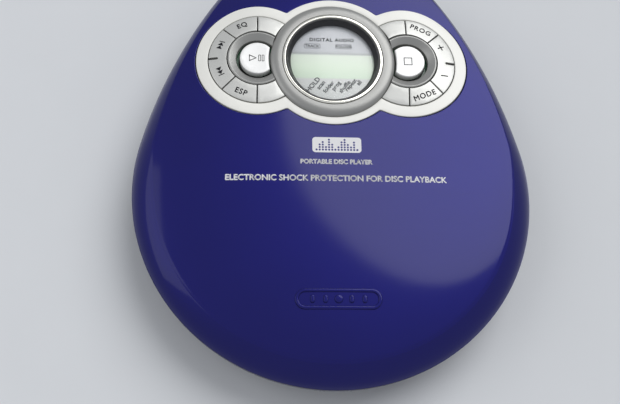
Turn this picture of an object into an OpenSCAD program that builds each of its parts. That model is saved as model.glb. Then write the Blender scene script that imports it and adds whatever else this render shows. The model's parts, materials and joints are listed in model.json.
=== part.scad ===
// Portable compact disc player with a teardrop case, a domed lid and a control panel in the lid.
// The shapes are drawn from the disc's axis, +Y towards the hinge, and place() then moves that
// axis so that the origin is under the middle of the whole player, at the height of its feet.

/* [Case outline] */
// Radius of the wide round end at the parting line
belt_r = 68; // [67.5:0.5:84]
// Radius of the long side curves
side_r = 185; // [180:5:230]
// Direction in which the side curves begin
side_from = 13.4; // [12:0.2:16]
// Direction in which the side curves end
side_to = 33.5; // [31:0.5:35]
// Radius of the corners beside the hinge
corner_r = 24; // [22:1:29]
// Radius of the slightly bowed edge along the hinge
tail_r = 300; // [240:10:400]

/* [Case heights] */
// Height of the feet
foot_h = 0.8; // [0.6:0.1:1.5]
// Height of the parting line above the feet
case_h = 16; // [16:0.5:20]
// Height of the lid's flank
flank_h = 6.7; // [6.5:0.1:9]
// Height of the dome above the top of the flank
dome_h = 3.2; // [3:0.1:5]
// How far the top of the flank stands in, at the wide end
flank_in = 7.3; // [6:0.1:7.5]
// How far the top of the flank stands in, at the hinge
flank_in_tail = 3.2; // [2.5:0.1:4]
// How far the flat bottom stands in
bottom_in = 12; // [10:0.5:12.5]
// Wall of the bottom case
case_wall = 1.6; // [1.2:0.1:2]
// Wall of the lid
lid_wall = 1.6; // [1.2:0.1:2]
// Gap between the lid and the case
belt_gap = 0.3; // [0.2:0.05:0.5]

/* [Disc and deck] */
// Diameter of the disc
disc_d = 120; // [80:1:124]
// Thickness of the disc
disc_t = 1.2; // [1.1:0.1:1.5]
// Room around the disc in its well
disc_room = 1.5; // [1:0.1:2]
// Radius of the hub that centres the disc
hub_r = 7.35; // [7.2:0.05:7.45]
// Wall of the deck
deck_t = 1.2; // [1:0.1:1.6]
// Height of the deck's floor over the parting line
floor_up = 1.4; // [1.2:0.1:2]
// Height of the well's rim above its floor
rim_h = 0.8; // [0.6:0.1:1.2]
// Gap between the deck's floor and the disc
disc_gap = 1; // [0.8:0.1:1.5]

/* [Control panel] */
// Distance from the disc's axis to the middle of the display
panel_y = 45.2; // [44:0.2:46]
// Radius of the panel around the display
panel_r = 24.6; // [24:0.1:25]
// Radius of the panel around each group of keys
lobe_r = 21.3; // [20.8:0.1:21.5]
// Distance from the display to the middle of each group of keys
lobe_x = 26.3; // [26:0.1:27]
// Height of the panel over the top of the flank
panel_up = 2.9; // [2.7:0.1:3.4]
// Thickness of the panel
panel_t = 1.4; // [1.2:0.1:1.6]
// Gap around the panel
panel_gap = 0.4; // [0.3:0.1:0.6]
// Outer radius of the ring around the display
bezel_r = 21.8; // [21.5:0.1:22]
// Outer radius of the bright ring
bright_r = 17.5; // [17:0.1:18]
// Inner radius of the bright ring
bright_in = 16.4; // [16:0.1:16.6]
// Radius of the display that shows
screen_r = 14.7; // [14:0.1:15]
// Outer radius of the ring of keys
keys_r = 17.1; // [16.8:0.1:17.4]
// Inner radius of the ring of keys
keys_in = 10.6; // [10.2:0.1:11]
// Radius of the round key in the middle
round_key_r = 6.1; // [5.8:0.1:6.4]
// Gap around the keys
key_gap = 0.3; // [0.25:0.05:0.4]
// Travel of the keys
key_travel = 0.5; // [0.4:0.1:0.6]

/* [Hinge] */
// Distance from the hinge axis to the back of the case
hinge_back = 6.1; // [5.8:0.1:6.5]
// Depth of the hinge axis below the parting line
hinge_down = 1.8; // [1.6:0.1:2.2]
// Radius of the lid's hinge barrel
barrel_r = 6.7; // [6.5:0.1:6.9]
// Half the length of the barrel
barrel_half = 18; // [16:0.5:19]
// Radius of the hinge pin
hinge_pin_r = 1.5; // [1.2:0.1:1.8]
// Gap around the barrel
barrel_gap = 0.5; // [0.4:0.1:0.7]

/* [Batteries] */
// Length of a cell
cell_l = 50.5; // [44:0.5:51]
// Diameter of a cell
cell_d = 14.5; // [10:0.1:14.5]
// Room at each end of a cell for its contact
contact_room = 4.35; // [4:0.05:5]
// Distance from the disc's axis to the near side of the compartment
cells_y = 16.5; // [16.5:0.1:17]
// Thickness of the battery door
door_t = 1.4; // [1.2:0.1:1.6]

/* [Drive] */
// Radius of the spindle motor
motor_r = 10.8; // [9:0.1:10.8]
// Radius of the turntable
table_r = 14.5; // [12:0.1:15]
// Radius of the spindle shaft
shaft_r = 1; // [0.8:0.1:1.2]
// Distance from the disc's axis to the lens at the innermost track
track_in = 25; // [25:0.5:26]
// Travel of the pickup
sled_travel = 33; // [30:0.5:33.5]
// Distance of the guide rods from the middle
rod_x = 20; // [19.5:0.1:20.4]
// Radius of the guide rods
rod_r = 1.2; // [1:0.1:1.3]
// Radius of the lead screw
screw_r = 1.5; // [1.2:0.1:1.5]
// Running clearance of shafts and rods
run = 0.05; // [0.03:0.01:0.08]

/* [Sockets and switches] */
// Radius of the headphone and line sockets
jack_r = 1.8; // [1.75:0.01:1.85]
// Depth of the headphone and line sockets
jack_depth = 14; // [13:0.5:15]
// Radius of the power socket
power_r = 2.75; // [2.5:0.05:3]
// Distance between the sockets
socket_step = 10; // [9.5:0.1:10.5]
// Travel of the opening slider
latch_travel = 4; // [3:0.5:4]
// Travel of the hold switch
hold_travel = 3; // [2:0.5:3]

/* [Hidden] */
$fn = 64;
tiny = 0.01;
far = 200;

// Outline of the case: four arcs on each side, each running smoothly into the next.
steps = 14;
function unit(a) = [cos(a), sin(a)];
side_c = (belt_r - side_r) * unit(side_from);
corner_c = side_c + (side_r - corner_r) * unit(side_to);
tail_from = acos(corner_c[0] / (tail_r - corner_r));
tail_c = corner_c + (corner_r - tail_r) * unit(tail_from);
tail_y = tail_c[1] + tail_r;
axis_y = (belt_r - tail_y) / 2;

// Stations around one half of the outline: centre, radius and direction of each point.
function arc(c, r, from, to, n) = [for (i = [0:n - 1]) [c, r, from + (to - from) * i / n]];
stations = concat(
  arc([0, 0], belt_r, -90, 0, steps),
  arc([0, 0], belt_r, 0, side_from, 3),
  arc(side_c, side_r, side_from, side_to, 12),
  arc(corner_c, corner_r, side_to, tail_from, 8),
  arc(tail_c, tail_r, tail_from, 90, 6),
  [[tail_c, tail_r, 90]]
);
function point(s, d) = s[0] + (s[1] - d) * unit(s[2]);
function mirrored(half) = concat(
  half, [for (i = [len(half) - 2:-1:1]) [-half[i][0], half[i][1]]]
);
// The outline moved in by the same distance d all round.
function outline(d) = mirrored([for (s = stations) point(s, d)]);
// The flank is wide at the round end and narrow at the hinge.
function smooth(t) = t * t * (3 - 2 * t);
function flank_width(a) =
  flank_in + (flank_in_tail - flank_in) * smooth(min(1, max(0, (a + 8) / 44)));
// The outline moved in by a share of the flank's width, and by d besides.
function flank_line(share, d) =
  mirrored([for (s = stations) point(s, share * flank_width(s[2]) + d)]);

// Heights
bottom_z = foot_h;
belt_z = foot_h + case_h;
case_top = belt_z - belt_gap / 2;
lid_low = belt_z + belt_gap / 2;
crease_z = belt_z + flank_h;
dome_a = belt_r - flank_in;
dome_b = (tail_y - flank_in_tail + dome_a) / 2;
dome_y = (tail_y - flank_in_tail - dome_a) / 2;
function dome_z(p) =
  crease_z + dome_h * (1 - pow(pow(p[0] / dome_a, 2) + pow((p[1] - dome_y) / dome_b, 2), 2));
floor_z = belt_z + floor_up;
rim_z = floor_z + rim_h;
disc_z = floor_z + disc_gap;
disc_top = disc_z + disc_t;
well_r = disc_d / 2 + disc_room;

// Lid and panel heights
frame_t = 1.2;
frame_z = disc_top + 0.8;
frame_top = frame_z + frame_t;
panel_z = crease_z + panel_up;
panel_low = panel_z - panel_t;
board_t = 0.8;
board_pad = 0.2;
key_board_z = frame_top + board_pad;
key_board_top = key_board_z + board_t;
mat_t = 0.3;
mat_top = key_board_top + mat_t;
key_low = panel_low - 0.4;
mat_dome = key_low - mat_top - key_travel;
key_top = panel_z + 0.3;
fulcrum_r = 0.6;

// Case insides
case_floor = bottom_z + case_wall;
main_board_z = case_floor + 1.2;
main_board_t = 1.2;
main_board_top = main_board_z + main_board_t;
hinge_y = tail_y - hinge_back;
hinge_z = belt_z - hinge_down;
trough_r = barrel_r + barrel_gap;
trough_wall = 1.2;
trough_half = corner_c[0] + sqrt(pow(corner_r, 2) - pow(hinge_y - corner_c[1], 2)) + 1.2;
barrel_back = tail_c[1] + sqrt(pow(tail_r, 2) - pow(barrel_half, 2)) - 0.4;
ear_gap = 0.4;
ear_t = 4;
ear_r = 3.6;

// Battery compartment
cells_half = cell_l / 2 + contact_room;
cells_l = 2 * cell_d + 2;
cells_far = cells_y + cells_l;
box_wall = 1.3;
cell_z = main_board_z + cell_d / 2 - 1.2;
door_gap = 0.3;
door_axis_y = -cells_y - 2;
door_axis_z = bottom_z + 1.5;
knuckle_r = 1.3;
door_pin_r = 0.8;

// Drive
chassis_t = 1.2;
chassis_top = floor_z - deck_t - 2.4;
chassis_z = chassis_top - chassis_t;
chassis_x = 26.5;
chassis_front = -14.5;
rod_z = chassis_z - 1.2;
rod_front = motor_r + 0.6;
rod_back = track_in + sled_travel + 12.8;
screw_x = rod_x - 2;
screw_z = rod_z - 3.3;
sled_half = 9;
opening_x = rod_x + 4;
damper_spots = [[-23, -10.8], [23, -10.8], [-29.5, 67], [29.5, 67]];
damper_h = 3.2;
damper_z = chassis_z - damper_h;

// Sockets, on a flat in the right side
flat_x = belt_r - 5;
flat_wall = 1.8;
socket_z = main_board_top + 3.6;
socket_end = flat_x - flat_wall - 0.2;
socket_mid = -1;
socket_spots = [for (i = [-1:1]) socket_mid + i * socket_step];

// Opening slider, in a slot in the front, and the catch on the lid that its tongue stands beside
slider_z = belt_z - 5.8;
knob_half = 7;
knob_rise = 2;
slot_gap = 0.35;
slider_y = -belt_r + 6.2;
slider_t = 1;
tongue_z = belt_z - 3.4;
tongue_h = 1.7;
catch_half = 4;
catch_back = belt_r - 4.4;
catch_front = belt_r - 2.7;
catch_low = belt_z - 2.5;
lug_x = 11.6;
spring_l = 9;
post_x = lug_x + spring_l + 0.4;

// Fasteners
screw_seat = bottom_z + 1.7;
boss_h = 7;
case_screw_spots = [for (s = [-1, 1]) each [[s * 49, -18], [s * 48.5, 23], [s * 33, 56]]];
foot_spots = [for (s = [-1, 1]) each [[s * 38, -36], [s * 26, 66]]];
lid_screw_spots = [for (s = [-1, 1]) each [[s * 42, -22], [s * 22, 70]]];
sensor_spot = [16.5, 66];
boss_r = 3.4;
head_r = 2.3;
shank_r = 0.9;

// Colours
lid_blue = [0.1, 0.1, 0.42];
case_dark = [0.06, 0.06, 0.16];
panel_silver = [0.9, 0.9, 0.86];
soft_grey = [0.62, 0.63, 0.65];
deck_grey = [0.2, 0.2, 0.22];
steel = [0.75, 0.76, 0.78];
board_green = [0.1, 0.36, 0.2];
dark = [0.05, 0.05, 0.06];

module place() {
  translate([0, axis_y, 0]) children();
}

// A closed skin through rings of equal length, capped at both ends.
function ring_faces(k, n) = concat(
  [for (j = [0:k - 2], i = [0:n - 1]) let (m = (i + 1) % n) [j * n + i, (j + 1) * n + m, j * n + m]],
  [for (j = [0:k - 2], i = [0:n - 1])
    let (m = (i + 1) % n) [j * n + i, (j + 1) * n + i, (j + 1) * n + m]]
);
module capped_skin(rings) {
  k = len(rings);
  n = len(rings[0]);
  polyhedron(
    points = [for (r = rings) each r],
    faces = concat(
      ring_faces(k, n),
      [[for (i = [0:n - 1]) i]],
      [[for (i = [n - 1:-1:0]) (k - 1) * n + i]]
    )
  );
}
// A closed skin through rings that come back to the first one.
module looped_skin(rings) {
  k = len(rings);
  n = len(rings[0]);
  polyhedron(points = [for (r = concat(rings, [rings[0]])) each r], faces = ring_faces(k + 1, n));
}
function at_height(line, z) = [for (p = line) [p[0], p[1], z]];

module slab(d, z0, z1) {
  translate([0, 0, z0]) linear_extrude(z1 - z0) polygon(outline(d));
}
module box(low, high) {
  translate(low) cube(high - low);
}
module rod_x_way(x0, x1, y, z, r) {
  translate([x0, y, z]) rotate([0, 90, 0]) cylinder(r = r, h = x1 - x0);
}
module rod_y_way(y0, y1, x, z, r) {
  translate([x, y0, z]) rotate([-90, 0, 0]) cylinder(r = r, h = y1 - y0);
}
// A coil spring around Z: its wire is swept along a helix with flat ends.
module coil(r, wire_r, length, turns) {
  sides = 6;
  per_turn = 14;
  last = turns * per_turn;
  rise = length - 2 * wire_r;
  rings = [for (i = [0:last]) let (a = 360 * i / per_turn, z = wire_r + rise * i / last)
    [for (s = [0:sides - 1]) let (b = -360 * s / sides, d = r + wire_r * cos(b))
      [d * cos(a), d * sin(a), z + wire_r * sin(b)]]];
  capped_skin(rings);
}

// The base below the parting line: an elliptic flank that rolls into the flat bottom.
function case_ring(a, wall) = at_height(
  outline(wall + bottom_in * (1 - cos(a))),
  case_top - (case_top - bottom_z - wall) * sin(a)
);
flank_steps = [0:15:90];
module case_outside() {
  capped_skin([for (a = [90:-15:0]) case_ring(a, 0)]);
}
module case_walls() {
  capped_skin(concat(
    [for (a = [90:-15:0]) case_ring(a, 0)],
    [for (a = flank_steps) case_ring(a, case_wall)]
  ));
}

module bottom_case() {
  ear_x = barrel_half + ear_gap;
  color(case_dark) place() difference() {
    union() {
      case_walls();
      intersection() {
        case_outside();
        rod_x_way(-trough_half - trough_wall, trough_half + trough_wall, hinge_y, hinge_z,
          trough_r + trough_wall);
      }
      difference() {
        box([-cells_half - box_wall, -cells_far - box_wall, bottom_z + 0.6],
          [cells_half + box_wall, -cells_y + box_wall, floor_z - deck_t - 0.1]);
        box([-cells_half, -cells_far, 0], [cells_half, -cells_y, far]);
      }
      side_flats();
      for (p = case_screw_spots) translate([p[0], p[1], bottom_z + 0.4])
        cylinder(r = boss_r, h = boss_h);
      for (p = damper_spots) translate([p[0], p[1], case_floor - 0.4])
        cylinder(r = 2.4, h = damper_z - case_floor + 0.4);
    }
    difference() {
      union() {
        rod_x_way(-trough_half, trough_half, hinge_y, hinge_z, trough_r);
        box([-trough_half, hinge_y, hinge_z], [trough_half, far, far]);
      }
      for (s = [-1, 1]) scale([s, 1, 1]) ear(ear_x);
    }
    rod_x_way(-ear_x - ear_t + 0.6, ear_x + ear_t - 0.6, hinge_y, hinge_z, hinge_pin_r);
    box([-cells_half, -cells_far, -1], [cells_half, -cells_y, case_floor + 0.4]);
    rod_x_way(-cells_half - 1, cells_half + 1, door_axis_y, door_axis_z, door_pin_r + run);
    for (p = case_screw_spots) translate([p[0], p[1], -1]) {
      cylinder(r = head_r + 0.3, h = screw_seat + 2.5);
      cylinder(r = shank_r + 0.2, h = boss_h + 5);
    }
    for (p = damper_spots) translate([p[0], p[1], damper_z - 5]) cylinder(r = shank_r, h = 10);
    flat_cuts();
    box([-knob_half - slot_gap - latch_travel, -far, slider_z - knob_rise - slot_gap],
      [knob_half + slot_gap, slider_y + 0.7, slider_z + knob_rise + slot_gap]);
  }
}
module ear(x) {
  rod_x_way(x, x + ear_t, hinge_y, hinge_z, ear_r);
  box([x, hinge_y - ear_r, hinge_z - trough_r - tiny], [x + ear_t, hinge_y + ear_r / 2, hinge_z]);
}
// Walls behind the flats for the sockets, on the right, and the hold switch, on the left, and the
// post that the slider's spring pulls on.
module side_flats() {
  intersection() {
    case_outside();
    union() {
      box([flat_x - flat_wall, socket_mid - socket_step - 7, main_board_z],
        [flat_x + tiny, socket_mid + socket_step + 7, belt_z - 2.8]);
      box([-flat_x - tiny, -11, main_board_z], [-flat_x + flat_wall, 13, belt_z - 2.8]);
      box([post_x, slider_y + 1.5, 0], [post_x + 1.2, slider_y + 5.5, slider_z + 2]);
    }
  }
}
module flat_cuts() {
  box([flat_x, socket_mid - socket_step - 5.5, socket_z - 4.2],
    [far, socket_mid + socket_step + 5.5, socket_z + 4.2]);
  inner_x = flat_x - flat_wall - 1;
  for (y = socket_spots) rod_x_way(inner_x, far, y, socket_z, 3.2);
  box([-far, -9, socket_z - 3], [-flat_x, 11, socket_z + 3]);
  box([-far, -3.4, socket_z - 1.8], [-inner_x, 3.4 + hold_travel, socket_z + 1.8]);
}

module battery_door() {
  edge = cells_half - door_gap;
  color(case_dark) place() difference() {
    union() {
      box([-edge, -cells_far + door_gap, bottom_z], [edge, door_axis_y, bottom_z + door_t]);
      rod_x_way(-edge, edge, door_axis_y, door_axis_z, knuckle_r);
      rod_x_way(-cells_half - 0.9, cells_half + 0.9, door_axis_y, door_axis_z, door_pin_r);
      for (x = [-20:10:20]) box([x - 0.5, -cells_far + 2, bottom_z + door_t - tiny],
        [x + 0.5, door_axis_y - 1.5, bottom_z + door_t + 0.4]);
    }
    translate([0, -cells_far + 6, bottom_z - 5.4]) sphere(r = 6);
  }
}
module battery_springs() {
  color(steel) place() for (i = [0, 1])
    translate([(1 - 2 * i) * (cells_half - 0.1), -cells_y - 1 - cell_d * (i + 0.5), cell_z])
      rotate([0, (2 * i - 1) * 90, 0]) coil(3.6, 0.35, 3.8, 4);
}
module battery_plates() {
  color(steel) place() for (i = [0, 1]) {
    x = (2 * i - 1) * (cells_half - 0.3);
    y = -cells_y - 1 - cell_d * (i + 0.5);
    box([x - 0.2, y - 5, cell_z - 5], [x + 0.2, y + 5, cell_z + 5]);
  }
}
module feet() {
  color(dark) place() for (p = foot_spots) translate([p[0], p[1], 0]) {
    cylinder(r1 = 3.9, r2 = 4.5, h = foot_h / 2);
    translate([0, 0, foot_h / 2]) cylinder(r = 4.5, h = foot_h / 2);
  }
}
module screw(r_head, h_head, l) {
  difference() {
    union() {
      cylinder(r = r_head, h = h_head);
      cylinder(r = shank_r, h = h_head + l);
    }
    for (a = [0, 90]) rotate([0, 0, a]) translate([-r_head * 0.6, -0.3, -1]) cube([r_head * 1.2, 0.6, 1.6]);
  }
}
module case_screws() {
  color(steel) place() for (p = case_screw_spots) translate([p[0], p[1], screw_seat])
    screw(head_r, 1.5, boss_h + 2);
}

// The deck: a flange at the parting line, a raised platform and the disc's shallow well.
deck_in = case_wall + 0.3;
platform_in = 4.4;
hollow_in = 6;
module deck() {
  color(deck_grey) place() difference() {
    union() {
      difference() {
        union() {
          slab(deck_in, case_top - deck_t, case_top);
          slab(platform_in, case_top - deck_t, rim_z);
        }
        slab(hollow_in, 0, floor_z - deck_t);
        translate([0, 0, floor_z]) cylinder(r = well_r, h = far, $fn = 180);
        for (s = [-1, 1]) translate([s * well_r, 0, floor_z]) cylinder(r = 9, h = far);
      }
      for (p = case_screw_spots) translate([p[0], p[1], bottom_z + boss_h + 0.6])
        cylinder(r = 2.6, h = floor_z - deck_t - bottom_z - boss_h - 0.5);
    }
    for (p = case_screw_spots) translate([p[0], p[1], 0]) cylinder(r = shank_r, h = floor_z - deck_t - 1);
    cylinder(r = table_r + 1, h = far);
    hull() for (y = [track_in, track_in + sled_travel])
      translate([0, y, floor_z - 3]) cylinder(r = 5, h = 9);
    rod_x_way(-trough_half - trough_wall - 0.1, trough_half + trough_wall + 0.1, hinge_y, hinge_z,
      trough_r + trough_wall + 0.1);
    translate([sensor_spot[0], sensor_spot[1], 0]) cylinder(r = 1.4 + 2 * run, h = far);
    box([-catch_half - 1, -far, 0], [catch_half + 1, -catch_back + 1, far]);
  }
}

module main_board() {
  color(board_green) place() difference() {
    intersection() {
      slab(bottom_in - 2.5, main_board_z, main_board_top);
      box([-far, -cells_y + box_wall + 0.4, 0], [far, far, far]);
    }
    for (p = concat(case_screw_spots, damper_spots)) translate([p[0], p[1], 0]) cylinder(r = 3.8, h = far);
    rod_x_way(-far / 2, far / 2, hinge_y, hinge_z, trough_r + trough_wall + 0.3);
  }
}
module chip(x, y, w, l, h) {
  color(dark) place() {
    box([x - w / 2, y - l / 2, main_board_top + 0.1], [x + w / 2, y + l / 2, main_board_top + h]);
    for (s = [-1, 1], i = [-4:4]) {
      px = x + s * (w / 2 + 0.5);
      py = y + i * l / 10;
      box([px - 0.6, py - 0.2, main_board_top], [px + 0.6, py + 0.2, main_board_top + 0.3]);
    }
  }
}
module signal_chip() { chip(-35, 22, 14, 14, 1.6); }
module memory_chip() { chip(-38, 42, 8, 12, 1.3); }
module driver_chip() { chip(38, 36, 9, 11, 1.5); }
module capacitors() {
  color(steel) place() for (p = [[-44, 2], [-36, 2], [-44, -6], [33, 24], [40, 20]])
    translate([p[0], p[1], main_board_top]) {
      cylinder(r = 2.9, h = 0.8);
      cylinder(r = 2.6, h = 5.4);
    }
}
module flex_connector() {
  color([0.85, 0.8, 0.7]) place() box([-12, 46, main_board_top], [4, 49, main_board_top + 1.5]);
}
// A flat cable that lies on the board, turns back over itself and runs under the pickup.
module flex_cable() {
  t = 0.2;
  low = main_board_top + 0.7;
  bend = 1.8;
  color([0.75, 0.45, 0.15]) place() translate([-10, 0, 0]) rotate([90, 0, 90]) linear_extrude(12) {
    translate([26, low]) square([20, t]);
    translate([26, low + 2 * bend - t]) square([14, t]);
    translate([26, low + bend]) difference() {
      circle(r = bend);
      circle(r = bend - t);
      translate([0, -bend - 1]) square(2 * bend + 2);
    }
  }
}

module jack(y) {
  color(dark) place() difference() {
    union() {
      box([socket_end - jack_depth + 1.4, y - 3.6, main_board_top],
        [socket_end - 3, y + 3.6, socket_z + 3.6]);
      rod_x_way(socket_end - 4, flat_x, y, socket_z, 3);
    }
    rod_x_way(flat_x - jack_depth, far, y, socket_z, jack_r);
  }
}
module phone_jack() { jack(socket_spots[0]); }
module line_jack() { jack(socket_spots[1]); }
module power_socket() {
  y = socket_spots[2];
  color(dark) place() difference() {
    union() {
      box([socket_end - 11, y - 4.2, main_board_top], [socket_end - 2, y + 4.2, socket_z + 3.8]);
      rod_x_way(socket_end - 3, flat_x, y, socket_z, 3.1);
    }
    rod_x_way(flat_x - 9.5, far, y, socket_z, power_r);
    rod_x_way(flat_x - 11.5, far, y, socket_z, 0.65);
  }
}
module power_pin() {
  color(steel) place() rod_x_way(flat_x - 11.5, flat_x - 1.4, socket_spots[2], socket_z, 0.65);
}
module hold_knob() {
  color(soft_grey) place() {
    box([-flat_x - 2, -3, socket_z - 1.4], [-flat_x + flat_wall + 0.4, 3, socket_z + 1.4]);
    box([-flat_x + flat_wall + 0.3, -7, socket_z - 2.6], [-flat_x + flat_wall + 1.2, 7, socket_z + 2.6]);
    for (y = [-2:1:2])
      box([-flat_x - 2.4, y - 0.25, socket_z - 1.4], [-flat_x - 1.9, y + 0.25, socket_z + 1.4]);
  }
}

// The opening slider: a ribbed knob, a plate behind the wall, a tongue beside the catch and a lug
// for the spring.
module open_slider() {
  face = -belt_r + 1.3;
  low = slider_z - 1.8;
  tongue_x = -catch_half - 0.5;
  color(soft_grey) place() {
    box([-knob_half, face, slider_z - knob_rise], [knob_half, slider_y + tiny, slider_z + knob_rise]);
    box([-12, slider_y, low], [lug_x, slider_y + slider_t, tongue_z + tiny]);
    box([tongue_x - 5, -catch_front + 1.2, tongue_z], [tongue_x, slider_y + slider_t, tongue_z + tongue_h]);
    box([lug_x - 1, slider_y, low], [lug_x, slider_y + 5.4, slider_z + 1.8]);
    for (x = [-5:1.25:5])
      box([x - 0.3, face - 0.3, slider_z - 1.7], [x + 0.3, face + tiny, slider_z + 1.7]);
  }
}
module slider_spring() {
  color(steel) place() translate([lug_x + 0.2, slider_y + 3.7, slider_z])
    rotate([0, 90, 0]) coil(1.6, 0.25, spring_l, 8);
}
module lid_sensor_pin() {
  color([0.9, 0.9, 0.88]) place() translate([sensor_spot[0], sensor_spot[1], floor_z - 5.5]) {
    cylinder(r = 1.4, h = frame_z - 0.3 - floor_z + 5.5);
    cylinder(r = 2, h = 1);
  }
}

module drive_chassis() {
  back = rod_back + 0.4;
  color(steel) place() difference() {
    union() {
      box([-chassis_x, chassis_front, chassis_z], [chassis_x, back, chassis_top]);
      for (p = damper_spots) translate([p[0], p[1], chassis_z]) cylinder(r = 4, h = chassis_t);
      box([-opening_x, rod_front, rod_z - 2.2], [opening_x, rod_front + 2.6, chassis_z + tiny]);
      box([screw_x - 3.5, rod_front, screw_z - 2.6], [screw_x + 3.5, rod_front + 2.6, rod_z]);
      box([-opening_x, rod_back - 2, rod_z - 2.2], [opening_x, back, chassis_z + tiny]);
      box([screw_x - 3.5, rod_back - 2, screw_z - 2.6], [screw_x + 3.5, back, rod_z]);
    }
    cylinder(r = 4.3, h = far);
    box([-opening_x, rod_front + 2.6, chassis_z - tiny], [opening_x, rod_back - 2, far]);
    for (s = [-1, 1]) rod_y_way(rod_front + 0.4, rod_back, s * rod_x, rod_z, rod_r);
    rod_y_way(0, rod_back - 0.4, screw_x, screw_z, screw_r + run);
    for (p = damper_spots) translate([p[0], p[1], 0]) cylinder(r = 1.4, h = far);
  }
}
module dampers() {
  color(dark) place() for (p = damper_spots) translate([p[0], p[1], damper_z]) difference() {
    rotate_extrude() union() {
      translate([1.2, 0]) square([2, damper_h]);
      translate([3.2, damper_h / 2]) circle(r = 0.7);
    }
    translate([0, 0, -1]) cylinder(r = 1.2, h = damper_h + 2);
  }
}
module chassis_screws() {
  color(steel) place() for (p = damper_spots)
    translate([p[0], p[1], chassis_top + 1]) rotate([180, 0, 0]) screw(2.2, 1, 8);
}
module spindle_motor() {
  color(steel) place() difference() {
    union() {
      translate([0, 0, chassis_z - 4.8]) cylinder(r = motor_r, h = 4.8);
      translate([0, 0, chassis_z - 0.1]) cylinder(r = 4.2, h = chassis_t + 0.9);
    }
    translate([0, 0, chassis_z - 4]) cylinder(r = shaft_r + run, h = 20);
  }
}
module spindle_shaft() {
  low = chassis_z - 3.8;
  color(steel) place() translate([0, 0, low]) cylinder(r = shaft_r, h = disc_top + 0.6 - low);
}
module turntable() {
  hub_top = disc_top + 1.1;
  color(dark) place() difference() {
    union() {
      translate([0, 0, disc_z - 1.2]) cylinder(r = table_r, h = 1.2);
      translate([0, 0, disc_z - tiny]) cylinder(r = hub_r, h = disc_t + 0.3);
      translate([0, 0, disc_top + 0.3 - tiny])
        cylinder(r1 = hub_r, r2 = hub_r - 1.3, h = hub_top - disc_top - 0.3);
    }
    translate([0, 0, disc_z - 3]) cylinder(r = shaft_r, h = disc_top + 0.6 - disc_z + 3);
    for (a = [0:120:240]) rotate([0, 0, a]) for (s = [-1, 1])
      box([3.4, s * 1.8 - 0.25, disc_z + 0.2], [hub_r - 1.8, s * 1.8 + 0.25, far]);
  }
}
module guide_rods() {
  color(steel) place() for (s = [-1, 1]) rod_y_way(rod_front + 0.4, rod_back, s * rod_x, rod_z, rod_r);
}
module pickup_sled() {
  top = floor_z - deck_t - 0.8;
  color(deck_grey) place() translate([0, track_in, 0]) difference() {
    union() {
      box([-13, -sled_half, rod_z - 1.8], [13, sled_half, chassis_top + 0.8]);
      cylinder(r = 6, h = top);
      box([-rod_x - 3, -8, rod_z - 2.2], [-12, 8, rod_z + 1.9]);
      box([12, -4, rod_z - 1.8], [rod_x + 2.4, 4, rod_z + 1.9]);
      box([screw_x - 3, -3, screw_z - 2.2], [screw_x + 2.8, 3, rod_z - 1.7]);
    }
    translate([0, 0, -far]) cylinder(r = 7, h = far + rod_z - 1.8);
    rod_y_way(-10, 10, -rod_x, rod_z, rod_r + run);
    rod_y_way(-10, 10, screw_x, screw_z, screw_r + run);
    box([rod_x - 1.6, -10, rod_z - rod_r - 0.1], [far, 10, rod_z + rod_r + 0.1]);
    box([-4.6, -4.6, top - 1.2], [4.6, 4.6, far]);
  }
}
module lens_holder() {
  z = floor_z - deck_t - 0.1;
  color(dark) place() translate([0, track_in, z]) difference() {
    union() {
      cylinder(r = 3.6, h = 0.9);
      box([-3.9, -2.8, -0.9], [3.9, 2.8, 0.3]);
    }
    translate([0, 0, -5]) cylinder(r = 2.4, h = 10);
  }
}
module objective_lens() {
  z = floor_z - deck_t - 0.1;
  color([0.6, 0.75, 0.9]) place() translate([0, track_in, z]) {
    translate([0, 0, -0.3]) cylinder(r = 2.4, h = 0.8);
    intersection() {
      translate([0, 0, -2.6]) sphere(r = 3.9);
      translate([0, 0, 0.4]) cylinder(r = 2.4, h = 2);
    }
  }
}
module lead_screw() {
  color(steel) place() rod_y_way(rod_front - 2.4, rod_back - 0.8, screw_x, screw_z, screw_r);
}
module sled_motor() {
  color(steel) place() difference() {
    rod_y_way(rod_front - 10.6, rod_front, screw_x, screw_z, 4);
    rod_y_way(rod_front - 2.8, rod_front + 3, screw_x, screw_z, screw_r + run);
  }
}

module hinge_pin() {
  half = barrel_half + ear_gap + ear_t - 0.6;
  color(steel) place() rod_x_way(-half, half, hinge_y, hinge_z, hinge_pin_r);
}
module lid_spring() {
  color(steel) place() translate([barrel_half - 3.6, hinge_y, hinge_z])
    rotate([0, 90, 0]) coil(2.3, 0.3, 3.2, 4);
}

// How far the panel's edge lies from the display's middle in direction a, moved out by grow.
function lobe_reach(x, r, a) =
  let (b = x * cos(a), d = b * b - x * x + r * r) d < 0 ? 0 : b + sqrt(d);
function panel_reach(a, grow) = max(
  panel_r + grow, lobe_reach(lobe_x, lobe_r + grow, a), lobe_reach(-lobe_x, lobe_r + grow, a)
);
function panel_hole(line) = [for (p = line)
  let (a = atan2(p[1] - panel_y, p[0])) [0, panel_y] + panel_reach(a, panel_gap) * unit(a)];
function mix(a, b, t) = [for (i = [0:len(a) - 1]) a[i] * (1 - t) + b[i] * t];
function on_dome(line, down) = [for (p = line) [p[0], p[1], dome_z(p) - down]];

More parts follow.
